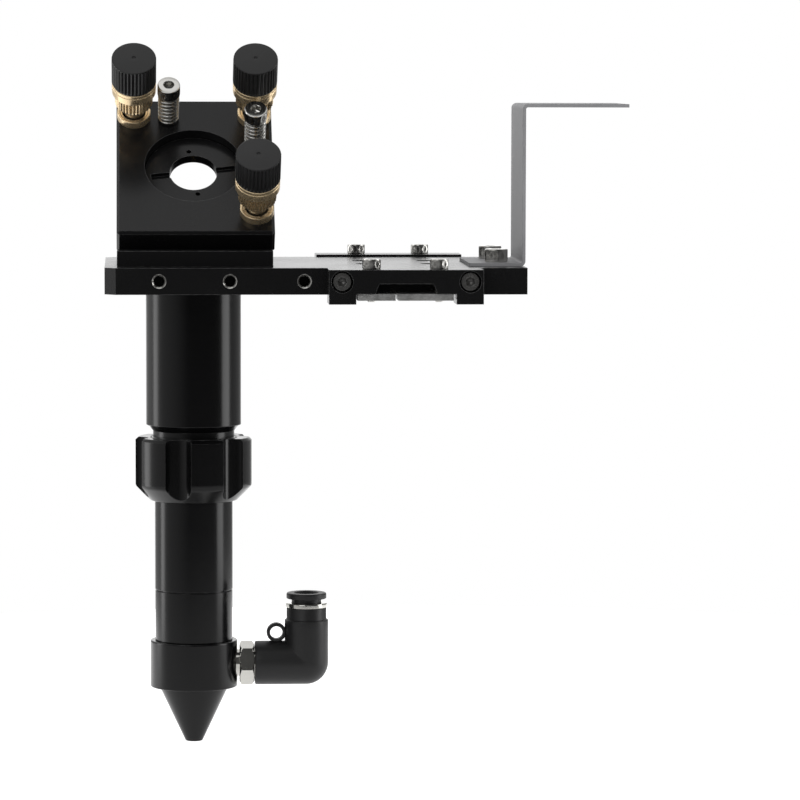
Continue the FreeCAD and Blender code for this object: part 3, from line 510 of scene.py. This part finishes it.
def nutSurface(values):
    # Ring with straight teeth: on its side the radius falls by toothDepth times a triangle wave of the angle,
    # faded out over the two bevelled ends.
    low, high, rim, bore = values["nutLow"], values["nutHigh"], values["nutRadius"], values["nutBore"]
    land = rim - values["toothDepth"] - 0.03
    side = np.linspace(low + 0.5, high - 0.5, 12)
    profile = np.concatenate([
        [[bore, low + 0.3], [bore + 0.25, low + 0.02], [bore + 0.35, low],
         [land - 0.5, low], [land - 0.4, low + 0.03],
         [land, low + 0.3]],
        np.stack([side * 0 + rim, side], -1),
        [[land, high - 0.3], [land - 0.4, high - 0.03], [land - 0.5, high],
         [bore + 0.35, high], [bore + 0.25, high - 0.02],
         [bore, high - 0.3]],
    ])
    columns = values["teeth"] * 12
    points = revolved(profile, columns)
    turn = np.arange(columns)[None, :] * values["teeth"] / columns
    valley = np.clip(1.35 * (1 - np.abs(2 * (turn % 1) - 1)) - 0.1, 0, 1)
    onSide = (profile[:, :1] >= rim - 0.001)
    scale = 1 - onSide * values["toothDepth"] * valley / rim
    points[..., :2] *= scale[..., None]
    return points


def makeAdjusters(values):
    flange, height, body = values["flangeRadius"], values["flangeHeight"], values["bodyRadius"]
    bush = roundedProfile([
        (values["bore"], values["bodyBottom"], 0.1), (body, values["bodyBottom"], 0.1),
        (body, 0, 0.05), (flange, 0, 0.1),
        (flange, height, 0.35), (values["bore"] + 0.9, height, 0.1),
        (values["bore"] + 0.5, height - 0.35, 0.1),
        (values["bore"], height - 0.4, 0.1),
    ])
    low, high, rim = values["collarLow"], values["collarHigh"], values["collarRadius"]
    collar = roundedProfile([
        (values["shaft"], low, 0.1), (rim - 0.5, low, 0.1), (rim, low + 0.4, 0.15), (rim, high - 1.5, 0.08),
        (rim - 0.14, high - 1.36, 0.06), (rim - 0.14, high - 1.14, 0.06), (rim, high - 1.0, 0.08),
        (rim, high, 0.3),
        (values["shaft"], high, 0.1),
    ])
    for number, (u, v) in values["places"].items():
        place = onPlate(u, v, 0)
        turn = place @ Matrix.Rotation(0.6 * number, 4, "Z")
        prefix = "adjuster_%d_" % number
        body = "adjuster_%d" % number
        tip = values["tipBottom"] + (values["ballRise"] if number == 2 else 0)
        shaft, point = values["shaft"], values["tip"]
        pitch = np.arange(tip + values["tipLength"] + 0.5, values["knobLow"], 0.25)
        thread = np.stack([shaft - 0.13 * np.abs(2 * ((pitch * 2) % 1) - 1), pitch], -1)
        spindle = np.concatenate([
            [[0.4, tip], [point - 0.4, tip + 0.03], [point, tip + 0.4], [point, tip + values["tipLength"]],
             [shaft - 0.3, tip + values["tipLength"] + 0.05]],
            thread, [[shaft - 0.3, values["knobLow"]], [0.4, values["knobLow"]]],
        ])
        for label, points, ring, finish, rides, sharp in (
            ("knob", knobSurface(values), False, "knob_plastic", body, 50),
            ("lock_nut", nutSurface(values), True, "brass", "lock_nut_%d" % number, 28),
            ("collar", revolved(collar, 96), True, "brass", body, 32),
            ("bush", revolved(bush, 96), True, "brass", "mirror_plate", 32),
            ("screw", revolved(spindle, 48), False, "adjuster_steel", body, 32),
        ):
            solid = shell(moved(points, turn), ring)
            piece(prefix + label + "_piece", [solid], rides, [prefix + label], finish, sharp)


makeAdjusters(adjusters)
print("adjusters made")


springs = {
    "places": {1: (-7.5, 48.0), 2: (19.0, 37.7)}, "length": 11.1, "coilRadius": 2.9,
    "wireRadius": 0.42, "turns": 7.4, "closed": 0.8, "sections": 10, "stepsPerTurn": 40,
    "lift": {1: 0.42, 2: 0.28},      # room for the plate's tilt
}


def springSurface(values, lift):
    # Round wire along a helix: the angle grows evenly, the height grows slowly over the closed end coils and
    # evenly between them. Each section lies across the wire: coilRadius + w cos b outwards, w sin b upwards.
    turns = values["turns"]
    t = np.linspace(0, turns, int(turns * values["stepsPerTurn"]))
    wire, closed = values["wireRadius"], values["closed"]
    low, high = wire + lift, values["length"] - wire - 0.08
    knots = [0, closed * 0.6, closed, turns - closed, turns - closed * 0.6, turns]
    heights = [low, low + 0.15, low + 0.55, high - 0.55, high - 0.15, high]
    middle = np.interp(t, knots, heights)
    middle = np.convolve(np.pad(middle, 6, mode="edge"), np.ones(13) / 13, mode="valid")
    b = np.arange(values["sections"]) * fullTurn / values["sections"]
    taper = np.clip(np.minimum(t, turns - t) / 0.12, 0.35, 1)[:, None]
    radius = values["coilRadius"] + wire * taper * np.cos(b)
    height = np.clip(middle[:, None] + wire * taper * np.sin(b), lift - 0.02, values["length"] - 0.06)
    angle = (t * fullTurn)[:, None]
    return np.stack([radius * np.cos(angle), radius * np.sin(angle), height], -1)


for number, (u, v) in springs["places"].items():
    place = onPlate(u, v, 0) @ Matrix.Rotation(1.1 * number, 4, "Z")
    coil = moved(springSurface(springs, springs["lift"][number]), place)
    name = "spring_%d" % number
    piece(name + "_piece", [shell(coil, False)], "head", [name], "spring_steel", 60)
print("springs made")


capScrew = {
    "m3": {
        "head": 2.75, "height": 3.0, "socket": 1.25, "socketDepth": 1.6, "shank": 1.5,
        "teeth": 44, "tooth": 0.07,
    },
    "m4": {
        "head": 3.5, "height": 4.0, "socket": 1.5, "socketDepth": 2.1, "shank": 2.0,
        "teeth": 54, "tooth": 0.08,
    },
}


def hexRadius(angle, flat):
    # Distance to the side of a hexagon whose flats are that far from the middle: flat over the cosine of
    # the angle from the nearest flat.
    return flat / np.cos((angle + math.pi / 6) % (math.pi / 3) - math.pi / 6)


def capScrewSurface(values, length, pitch=0):
    # Rows from the socket's floor out over the head, down its finely grooved side and along the shank to
    # its tip. A row is a circle or a hexagon; the side's grooves are a cosine of the angle. With a pitch the
    # shank's rows stand in and out as a thread's profile.
    columns = values["teeth"] * 4
    angle = np.arange(columns) * fullTurn / columns
    top, rim, flat = values["height"], values["head"], values["socket"]
    floor, edge = top - values["socketDepth"], 0.07 * values["head"] + 0.1
    hexagon, circle = hexRadius(angle, flat), np.ones(columns)
    groove = values["tooth"] * (0.5 - 0.5 * np.cos(values["teeth"] * angle))
    rows = [
        (hexagon * 0.15, floor - 0.45), (hexagon * 0.97, floor), (hexagon, floor + 0.05),
        (hexagon, top - 0.16),
        (np.maximum(hexagon, flat * 1.06) + 0.04, top - 0.05), (circle * flat * 1.19, top),
        (circle * flat * 1.25, top),
        (circle * (rim - edge - 0.08), top), (circle * (rim - edge), top - 0.01),
        (circle * (rim - 0.4 * edge), top - 0.16 * edge),
        (circle * (rim - 0.06), top - 0.6 * edge), (rim - 0.4 * groove, top - edge),
        (rim - groove, top - edge - 0.12),
        (rim - groove, top / 2), (rim - groove, 0.3), (circle * (rim - 0.05), 0.15),
        (circle * (rim - 0.15), 0.02),
        (circle * (rim - 0.25), 0.0), (circle * (values["shank"] + 0.1), 0.0),
        (circle * values["shank"], -0.12),
    ]
    for count in range(int((length - 1.2) / pitch) if pitch else 0):
        for share, cut in ((0.15, 0.0), (0.5, 0.38), (0.62, 0.38), (0.97, 0.0)):
            rows.append((circle * (values["shank"] - cut), -0.3 - (count + share) * pitch))
    rows += [
        (circle * values["shank"], -length + 0.5), (circle * (values["shank"] - 0.35), -length),
        (circle * 0.3, -length),
    ]
    radius = np.array([row[0] for row in rows])
    height = np.array([row[1] for row in rows])[:, None]
    return np.stack([radius * np.cos(angle), radius * np.sin(angle), height + 0 * angle], -1)


def screwTurn(direction):
    # Turns the screw's head, made towards +Z, to the side that it is seen from.
    quarter = {"up": 0, "front": 90, "rear": -90, "down": 180}[direction]
    return Matrix.Rotation(math.radians(quarter), 4, "X")


screws = {
    "front_block_screws": {
        "size": "m3", "length": 16.0, "spots": [(-19.1, -44.3, 4.4), (19.1, -44.3, 4.4)], "head": "front",
    },
    "rear_block_screws": {
        "size": "m3", "length": 16.0, "spots": [(-19.1, 44.3, 4.4), (19.1, 44.3, 4.4)], "head": "rear",
    },
    "front_clamp_screws": {
        "size": "m3", "length": 9.8, "spots": [(-10.1, -42.5, 8.0), (10.1, -42.5, 8.0)], "head": "up",
    },
    "rear_clamp_screws": {
        "size": "m3", "length": 10.5, "spots": [(-10.1, 42.5, 8.7), (10.1, 42.5, 8.7)], "head": "up",
    },
    "chain_bracket_screws": {
        "size": "m4", "length": 8.0, "spots": [(29.2, -19.5, 9.0), (29.2, 2.5, 9.0)], "head": "up",
    },
    "housing_screws": {
        "size": "m4", "length": 7.2, "head": "down",
        "spots": [(-80.4, -21.5, 4.3), (-80.4, 22.5, 4.3), (-44.4, -21.5, 4.3), (-44.4, 22.5, 4.3)],
    },
}


def makeScrews(values):
    for name, row in values.items():
        shells = []
        for count, (x, y, z) in enumerate(row["spots"]):
            spin = Matrix.Rotation(0.35 + 0.8 * count, 4, "Z")
            place = placeAt(x, y, z, screwTurn(row["head"]) @ spin)
            shells.append(shell(moved(capScrewSurface(capScrew[row["size"]], row["length"]), place), False))
        piece(name + "_piece", shells, "head", [name], slotOf[name], 34)
    for number, (u, v) in springs["places"].items():
        place = onPlate(u, v, springs["length"]) @ Matrix.Rotation(0.5 * number, 4, "Z")
        points = moved(capScrewSurface(capScrew["m4"], springs["length"] + 15.0, 0.7), place)
        name = "spring_screw_%d" % number
        piece(name + "_piece", [shell(points, False)], "head", [name], slotOf[name], 34)


makeScrews(screws)
print("screws made")


holeHighlightRims = {      # painted highlight: bright steel rims in the tapped holes' mouths stand in for light caught by their chamfers; section: radius, and height over the front face
    "x": (-73.3, -52.1, -29.8), "y": -36.5, "z": 4.0,
    "section": [(2.14, -0.01), (1.66, -0.49), (1.61, -0.46), (2.09, 0.02)],
}


def makeHoleHighlightRims(values):
    rim = revolved(np.array(values["section"]), 64)
    spots = [placeAt(x, values["y"], values["z"], screwTurn("front")) for x in values["x"]]
    shells = [shell(moved(rim, spot)) for spot in spots]
    # bright steel here is a painted highlight on the holes' chamfers
    piece("front_hole_highlight_rims_piece", shells, "head", [], "bright_screw_steel", 24)


makeHoleHighlightRims(holeHighlightRims)
print("hole rims made")


tubes = {
    "upper": [      # radius, height, rounding
        (10.3, 8.0, 0.2), (13.0, 8.0, 0.3), (13.0, 0.0, 0.1), (14.7, 0.0, 0.35), (14.7, -42.5, 0.25),
        (14.1, -42.55, 0.1),
        (12.6, -44.3, 0.1), (12.6, -46.3, 0.1), (13.0, -46.4, 0.1), (13.0, -62.3, 0.2), (12.1, -62.3, 0.1),
        (12.1, -4.0, 0.1), (10.3, -4.0, 0.1),
    ],
    "lens": [
        (10.3, -26.7, 0.15), (12.05, -26.7, 0.35), (12.05, -93.68, 0.10), (10.75, -93.7, 0.05),
        (10.75, -87.7, 0.1),
        (10.3, -87.7, 0.1),
    ],
    "holder": [
        (10.0, -97.3, 0.1), (10.0, -87.7, 0.1), (10.75, -87.7, 0.05), (10.75, -93.7, 0.05),
        (11.6, -93.7, 0.05),
        (11.6, -94.05, 0.05), (12.0, -94.1, 0.12), (12.0, -109.6, 0.08), (11.0, -109.6, 0.08),
        (11.0, -114.6, 0.2),
        (8.5, -114.6, 0.2), (8.5, -97.3, 0.1),
    ],
    "airRing": [
        (11.05, -109.65, 0.1), (13.5, -109.65, 0.45), (13.5, -124.2, 0.45), (10.05, -124.2, 0.05),
        (10.05, -119.3, 0.1),
        (9.0, -119.3, 0.1), (9.0, -114.9, 0.1), (11.05, -114.9, 0.1),
    ],
    "nozzle": [
        (8.0, -119.6, 0.1), (10.0, -119.6, 0.2), (10.0, -124.25, 0.03), (10.7, -124.25, 0.12),
        (2.6, -141.4, 0.3),
        (1.2, -141.4, 0.15), (1.2, -139.4, 0.1),
    ],
}


def makeTubes(values):
    place = placeAt(tubeAxis[0], tubeAxis[1], 0)
    for name, rides, replaced in (
        ("upper", "head", ["upper_tube"]), ("lens", "lens_tube", ["lens_tube"]),
        ("holder", "lens_tube", ["lens_holder"]),
        ("airRing", "air_ring", ["air_ring"]), ("nozzle", "nozzle", ["nozzle"]),
    ):
        points = moved(revolved(roundedProfile(values[name], 6), 192), place)
        piece(name + "_piece", [shell(points)], rides, replaced, "black_gloss_anodised", 30)


makeTubes(tubes)


lockRing = {
    "top": -46.3, "bottom": -65.9, "radius": 18.0, "bore": 13.1, "lipBore": 12.35, "lipTop": -63.5,
    "topChamfer": 0.9,
    "bottomChamfer": 4.5, "flutes": 6, "cutter": 4.3, "depth": 3.5, "turn": -16.6, "columnsPerHalf": 26,
}


def lockRingSurface(values):
    # Outer wall: the radius p of the chamfered ring, or the near side of a straight flute where that is less.
    # A flute is a round cutter of radius c about an axis at distance d. Its wall is swept by an angle t from
    # its deepest line to where it meets the ring, cos t = (d^2 + c^2 - p^2) / 2dc, at the ring's angle
    # a = atan(c sin t / (d - c cos t)) and the radius d cos a - sqrt(c^2 - (d sin a)^2).
    top, bottom, outer = values["top"], values["bottom"], values["radius"]
    chamferTop, chamferLow = top - values["topChamfer"], bottom + values["bottomChamfer"]
    cutter, distance = values["cutter"], outer - values["depth"] + values["cutter"]
    s = np.linspace(0, 1, 7)
    height = np.concatenate([
        bottom + 0.12 * s[:-1] ** 2, np.linspace(bottom + 0.12, bottom + 2.0, 24)[:-1],
        np.linspace(bottom + 2.0, chamferLow - 0.4, 8)[:-1], chamferLow - 0.4 + 0.8 * s[:-1],
        np.linspace(chamferLow + 0.4, chamferTop - 0.15, 12)[:-1], chamferTop - 0.15 + 0.3 * s[:-1],
        np.linspace(chamferTop + 0.15, top - 0.12, 5)[:-1], top - 0.12 + 0.12 * s,
    ])
    soft = 0.12
    knots = [
        bottom, bottom + 0.12, chamferLow - 0.4, chamferLow, chamferLow + 0.4, chamferTop, top - 0.12, top,
    ]
    plain = np.interp(height, knots, [
        outer - values["bottomChamfer"] - 0.15, outer - values["bottomChamfer"] + 0.12, outer - 0.4,
        outer - soft, outer, outer,
        outer - values["topChamfer"] + 0.12, outer - values["topChamfer"] - 0.15,
    ])[:, None]
    sweep = np.arccos(np.clip((distance ** 2 + cutter ** 2 - plain ** 2) / (2 * distance * cutter), -1, 1))
    inside = np.linspace(0, 1, values["columnsPerHalf"] + 1)
    outside = np.linspace(0, 1, values["columnsPerHalf"] + 1)[1:]
    swept = np.arctan2(cutter * np.sin(sweep * inside), distance - cutter * np.cos(sweep * inside))
    swept = np.maximum(swept, 0.04 * inside)      # below the flute's end its columns stay apart
    edge = swept[:, -1:]
    half = math.pi / values["flutes"]
    right = np.concatenate([swept, edge + (half - edge) * outside], axis=1)
    a = np.concatenate([-right[:, :0:-1], right[:, :-1]], axis=1)
    wall = distance * np.cos(a) - np.sqrt(np.clip(cutter ** 2 - (distance * np.sin(a)) ** 2, 0, None))
    radius = np.where(np.abs(a) < edge - 1e-6, np.minimum(wall, plain), plain)
    angles = [a + fullTurn * index / values["flutes"] for index in range(values["flutes"])]
    a, radius = np.concatenate(angles, axis=1), np.concatenate([radius] * values["flutes"], axis=1)
    a = a + math.radians(values["turn"] - 90)
    points = np.stack([radius * np.cos(a), radius * np.sin(a), height[:, None] + 0 * a], -1)
    inner = roundedProfile([
        (values["bore"] + 0.5, top, 0.1), (values["bore"], top - 0.5, 0.1),
        (values["bore"], values["lipTop"], 0.1),
        (values["lipBore"], values["lipTop"], 0.1), (values["lipBore"], bottom + 0.4, 0.1),
        (values["lipBore"] + 0.3, bottom, 0.1),
    ], 4)
    bore = np.stack([
        inner[:, :1] * np.cos(a[-1]), inner[:, :1] * np.sin(a[-1]), inner[:, 1:2] + 0 * a[-1],
    ], -1)
    return np.concatenate([points, bore])


ring = moved(lockRingSurface(lockRing), placeAt(tubeAxis[0], tubeAxis[1], 0))
piece("lock_ring_piece", [shell(ring)], "lock_ring", ["lock_ring"], "black_gloss_anodised", 24)
print("tubes and lock ring made")


fitting = {
    "z": -117.1, "hexStart": 14.1, "hexEnd": 18.7, "hexFlat": 6.0, "hexTurn": 18.0, "hexBevel": 0.62,
    "neck": 4.5, "neckEnd": 22.9, "bore": 2.0, "threadStart": 12.6, "threadRadius": 4.25,
    "elbowStart": 18.9, "elbowX": 35.0, "elbowRadius": 6.8, "innerFillet": 0.9,
    "shoulderZ": -103.5, "topZ": -99.7,
    "shoulderRadius": 6.2, "socket": 4.7, "socketFloor": -104.6, "hose": 3.05, "hoseFloor": -110.5,
    "eyeX": 25.6, "eyeZ": -107.6, "eyeRadius": 3.0, "eyeHole": 1.95, "eyeHalf": 1.6,
    "plateHigh": -98.3, "plateRadius": 6.4, "plateBore": 4.7,
    "buttonLow": -103.3, "buttonUnder": -97.0, "buttonHigh": -95.2, "buttonRadius": 6.2,
    "buttonSleeve": 4.6, "buttonBore": 3.1,
}


def hexSurface(values):
    # Rows along +X. In the hexagon each row is the smaller of the hexagon and a bevel cone's circle, so the
    # corners end in the curved bevels of a turned nut.
    columns = 144
    angle = np.arange(columns) * fullTurn / columns
    start, end, flat = values["hexStart"], values["hexEnd"], values["hexFlat"]
    corner = flat / math.cos(math.pi / 6)
    s = np.linspace(0, 1, 9)
    bevel = values["hexBevel"]
    along = np.concatenate([
        start + 0.02 + bevel * s, np.linspace(start + bevel, end - bevel, 8)[1:-1],
        end - bevel + (bevel - 0.02) * s,
    ])
    cone = np.minimum(along - start, end - along) * (corner - flat + 0.25) / bevel + flat - 0.25
    hexagon = hexRadius(angle + math.radians(values["hexTurn"]), flat)
    side = np.minimum(hexagon[None, :], cone[:, None])
    ones = np.ones(columns)
    before = [
        (values["threadStart"], values["bore"]), (values["threadStart"], values["threadRadius"] - 0.4),
        (values["threadStart"] + 0.4, values["threadRadius"]), (start - 0.02, values["threadRadius"]),
        (start, flat - 0.6),
    ]
    after = [
        (end, flat - 0.5), (end, values["neck"]), (values["neckEnd"] - 0.3, values["neck"]),
        (values["neckEnd"], values["neck"] - 0.3),
        (values["neckEnd"], values["bore"]),
    ]
    radius = np.concatenate([[r * ones for x, r in before], side, [r * ones for x, r in after]])
    x = np.concatenate([[x for x, r in before], along, [x for x, r in after]])[:, None]
    return np.stack([x + 0 * angle, radius * np.cos(angle), radius * np.sin(angle)], -1)


def elbowSurface(values):
    # Lines run along the elbow, each at an offset w outwards from its middle line. A line goes along +X,
    # turns up through an arc whose radius is w where w is more than a small fillet and that fillet where it
    # is less, a smooth maximum of the two, and goes up along +Z. Both ends turn in and close inside.
    columns, radius = 96, values["elbowRadius"]
    b = np.arange(columns) * fullTurn / columns
    start, cornerX, z, top = values["elbowStart"], values["elbowX"], 0.0, values["topZ"] - values["z"]
    shoulder, small = values["shoulderZ"] - values["z"], values["shoulderRadius"]

    def offsets(size):
        return size * np.cos(b), size * np.sin(b)

    lead = [(values["neck"] + 0.2, start + 3.5), (values["neck"] + 0.2, start + 0.15),
            (values["neck"] + 0.4, start),
            (radius - 0.7, start), (radius - 0.35, start + 0.06), (radius - 0.1, start + 0.25),
            (radius, start + 0.6)]
    rows = [np.stack([x + 0 * b, offsets(r)[1], z - offsets(r)[0]], -1) for r, x in lead]
    w, sideways = offsets(radius)
    fillet = (w + np.sqrt(w ** 2 + 4 * values["innerFillet"] ** 2)) / 2
    centreX, centreZ = cornerX + w - fillet, z - w + fillet
    for share in np.linspace(0, 1, 8)[1:]:
        rows.append(np.stack([start + 0.6 + (centreX - start - 0.6) * share, sideways, z - w], -1))
    for t in np.linspace(0, math.pi / 2, 25)[1:]:
        rows.append(np.stack([centreX + fillet * np.sin(t), sideways, centreZ - fillet * np.cos(t)], -1))
    for share in np.linspace(0, 1, 7)[1:]:
        rows.append(np.stack([cornerX + w, sideways, centreZ + (shoulder - 0.5 - centreZ) * share], -1))
    tail = [(radius - 0.04, shoulder - 0.25), (radius - 0.2, shoulder - 0.06), (radius - 0.4, shoulder),
            (small + 0.04, shoulder + 0.04),
            (small, shoulder + 0.12), (small, top - 0.3), (small - 0.1, top - 0.1), (small - 0.3, top),
            (values["socket"] + 0.2, top),
            (values["socket"], top - 0.2), (values["socket"], values["socketFloor"] - values["z"]),
            (values["hose"] + 0.1, values["socketFloor"] - values["z"]),
            (values["hose"], values["socketFloor"] - values["z"] - 0.2),
            (values["hose"], values["hoseFloor"] - values["z"])]
    rows += [np.stack([cornerX + offsets(r)[0], offsets(r)[1], zz + 0 * b], -1) for r, zz in tail]
    return np.stack(rows)


def makeFitting(values):
    place = placeAt(tubeAxis[0], tubeAxis[1], values["z"])
    hexagon = shell(moved(hexSurface(values), place))
    piece("fitting_hex_piece", [hexagon], "air_ring", ["fitting_hex_body"], "nickel_plate", 26)
    eye = roundedProfile([
        (values["eyeHole"], -values["eyeHalf"], 0.25), (values["eyeRadius"], -values["eyeHalf"], 0.5),
        (values["eyeRadius"], values["eyeHalf"], 0.5), (values["eyeHole"], values["eyeHalf"], 0.25),
    ])
    quarter = Matrix.Rotation(math.radians(90), 4, "X")
    upright = placeAt(tubeAxis[0] + values["eyeX"], tubeAxis[1], values["eyeZ"], quarter)
    shells = [shell(moved(elbowSurface(values), place), False), shell(moved(revolved(eye, 64), upright))]
    piece("elbow_body_piece", shells, "elbow", ["elbow_body"], "elbow_plastic", 40)
    over = placeAt(tubeAxis[0] + values["elbowX"], tubeAxis[1], 0)
    plated = roundedProfile([
        (values["plateBore"], values["topZ"], 0.05), (values["plateRadius"], values["topZ"], 0.15),
        (values["plateRadius"], values["plateHigh"], 0.4), (values["plateBore"], values["plateHigh"], 0.15),
    ])
    ring = shell(moved(revolved(plated, 96), over))
    piece("collet_ring_piece", [ring], "elbow", ["collet_ring"], "nickel_plate", 32)
    under, high, rim = values["buttonUnder"], values["buttonHigh"], values["buttonRadius"]
    button = roundedProfile([
        (values["buttonBore"], values["buttonLow"], 0.1), (values["buttonSleeve"], values["buttonLow"], 0.2),
        (values["buttonSleeve"], under, 0.1), (rim, under, 0.25), (rim, high, 0.55),
        (values["buttonBore"] + 0.9, high, 0.2),
        (values["buttonBore"], high - 0.9, 0.2),
    ])
    pressed = shell(moved(revolved(button, 96), over))
    piece("release_button_piece", [pressed], "release_button", ["release_button"], "elbow_plastic", 32)


makeFitting(fitting)
print("air fitting made")


studio = {
    "floorDrop": 0.016, "floorColour": 0.86, "floorGlow": 0.55, "farGlow": 1.0, "farGlowFrom": 0.25,
    "tableRadius": 0.45, "tableSides": 128, "mirrorsFrom": -0.05, "mirrorsTo": 0.05,
    "roomLight": 0.60, "roomGlossy": 0.05, "backGlossy": 1.5, "asideGlossy": 0.30, "skyGlossy": 0.8,
    "leftGlossy": 0.45,
    "lamps": {      # place and aim in metres, width, height, watts
        "overhead": ((-0.10, -0.35, 1.25), (-0.03, 0.0, 0.0), 1.10, 0.9, 2.2),
        "rightStrip": ((0.95, -0.10, 0.05), (-0.05, 0.0, -0.04), 0.42, 1.0, 4.2),
        "leftStrip": ((-1.05, 0.28, 0.05), (-0.05, 0.0, -0.04), 0.30, 1.0, 2.4),
        "frontFill": ((-0.75, -1.35, 0.75), (-0.05, 0.0, 0.0), 0.9, 0.9, 3.2),
    },
}


def makeStudio(values):
    floorZ = cadBox[0].z - values["floorDrop"]      # clear of the nozzle at the focus slide's lower limit
    # a round table: beyond its edge, front faces reflect the dark room
    sides = range(values["tableSides"])
    reach = values["tableRadius"]
    turns = [side * fullTurn / len(sides) for side in sides]
    corners = [(reach * math.cos(turn), reach * math.sin(turn), floorZ) for turn in turns]
    mesh = bpy.data.meshes.new("floor")
    mesh.from_pydata(corners, [], [tuple(sides)])
    floor = bpy.data.objects.new("floor", mesh)
    bpy.context.scene.collection.objects.link(floor)
    pale = bpy.data.materials.new("paleFloor")      # a diffuse floor that the camera and mirrors see as white
    pale.use_nodes = True
    tree = pale.node_tree
    surface = tree.nodes["Principled BSDF"]
    surface.inputs["Base Color"].default_value = (values["floorColour"],) * 3 + (1,)
    surface.inputs["Roughness"].default_value = 0.9
    surface.inputs["Specular IOR Level"].default_value = 0.0
    surface.inputs["Emission Color"].default_value = (1, 1, 1, 1)
    seen = tree.nodes.new("ShaderNodeLightPath")
    spot = tree.nodes.new("ShaderNodeTexCoord").outputs["Object"]
    split = tree.nodes.new("ShaderNodeSeparateXYZ")
    link(tree, spot, split.inputs[0])
    back = ranged(tree, split.outputs["Y"], values["mirrorsFrom"], values["mirrorsTo"], 0.0, 1.0)
    mirrored = math2(tree, "MULTIPLY", seen.outputs["Is Glossy Ray"], back)
    either = math2(tree, "MAXIMUM", seen.outputs["Is Camera Ray"], seen.outputs["Is Transmission Ray"])
    either = math2(tree, "MAXIMUM", either, mirrored)      # behind the object, mirrors see a white table too
    away = tree.nodes.new("ShaderNodeVectorMath")      # far from the lamps the table glows more
    away.operation = "LENGTH"
    link(tree, spot, away.inputs[0])
    near, low, high = values["farGlowFrom"], values["floorGlow"], values["farGlow"]
    glow = ranged(tree, away.outputs["Value"], near, reach, low, high)
    link(tree, math2(tree, "MULTIPLY", either, glow), surface.inputs["Emission Strength"])
    mesh.materials.append(pale)

    world = bpy.data.worlds.new("studioWorld")
    bpy.context.scene.world = world
    world.use_nodes = True
    tree = world.node_tree
    tree.nodes.clear()
    out = tree.nodes.new("ShaderNodeOutputWorld")
    light = tree.nodes.new("ShaderNodeBackground")
    path = tree.nodes.new("ShaderNodeLightPath")
    towards = tree.nodes.new("ShaderNodeSeparateXYZ")
    link(tree, tree.nodes.new("ShaderNodeTexCoord").outputs["Generated"], towards.inputs[0])
    # reflections see the white backdrop behind the object, a dim room in front of it and a pale wall
    # at the left
    aside = math2(tree, "ABSOLUTE", towards.outputs["X"], 0.0)
    screen = ranged(tree, aside, 0.12, 0.45, values["backGlossy"], values["asideGlossy"])
    sky = ranged(tree, towards.outputs["Z"], 0.15, 0.5, values["backGlossy"], values["skyGlossy"])
    screen = math2(tree, "MINIMUM", screen, sky)
    behind = ranged(tree, towards.outputs["Y"], -0.15, 0.25, values["roomGlossy"], screen)
    leftWall = ranged(tree, towards.outputs["X"], -0.25, -1.0, 0.0, values["leftGlossy"])
    glossy = math2(tree, "MULTIPLY", path.outputs["Is Glossy Ray"], math2(tree, "ADD", behind, leftWall))
    direct = math2(tree, "MAXIMUM", path.outputs["Is Camera Ray"], path.outputs["Is Transmission Ray"])
    shown = math2(tree, "MAXIMUM", direct, glossy)
    other = math2(tree, "SUBTRACT", 1.0, math2(tree, "MAXIMUM", direct, path.outputs["Is Glossy Ray"]))
    level = math2(tree, "ADD", shown, math2(tree, "MULTIPLY", other, values["roomLight"]))
    link(tree, level, light.inputs["Strength"])
    light.inputs["Color"].default_value = (1, 1, 1, 1)
    link(tree, light.outputs[0], out.inputs["Surface"])

    for name, (place, aim, width, height, watts) in values["lamps"].items():
        data = bpy.data.lights.new(name, "AREA")
        data.shape, data.size, data.size_y, data.energy = "RECTANGLE", width, height, watts
        lamp = bpy.data.objects.new(name, data)
        bpy.context.scene.collection.objects.link(lamp)
        direction = Vector(aim) - Vector(place)
        aimed = direction.to_track_quat("-Z", "Y").to_matrix().to_4x4()
        lamp.matrix_world = Matrix.Translation(place) @ aimed
        lamp.visible_camera = False


makeStudio(studio)
bpy.context.scene.view_settings.view_transform = "Standard"
print("studio made")
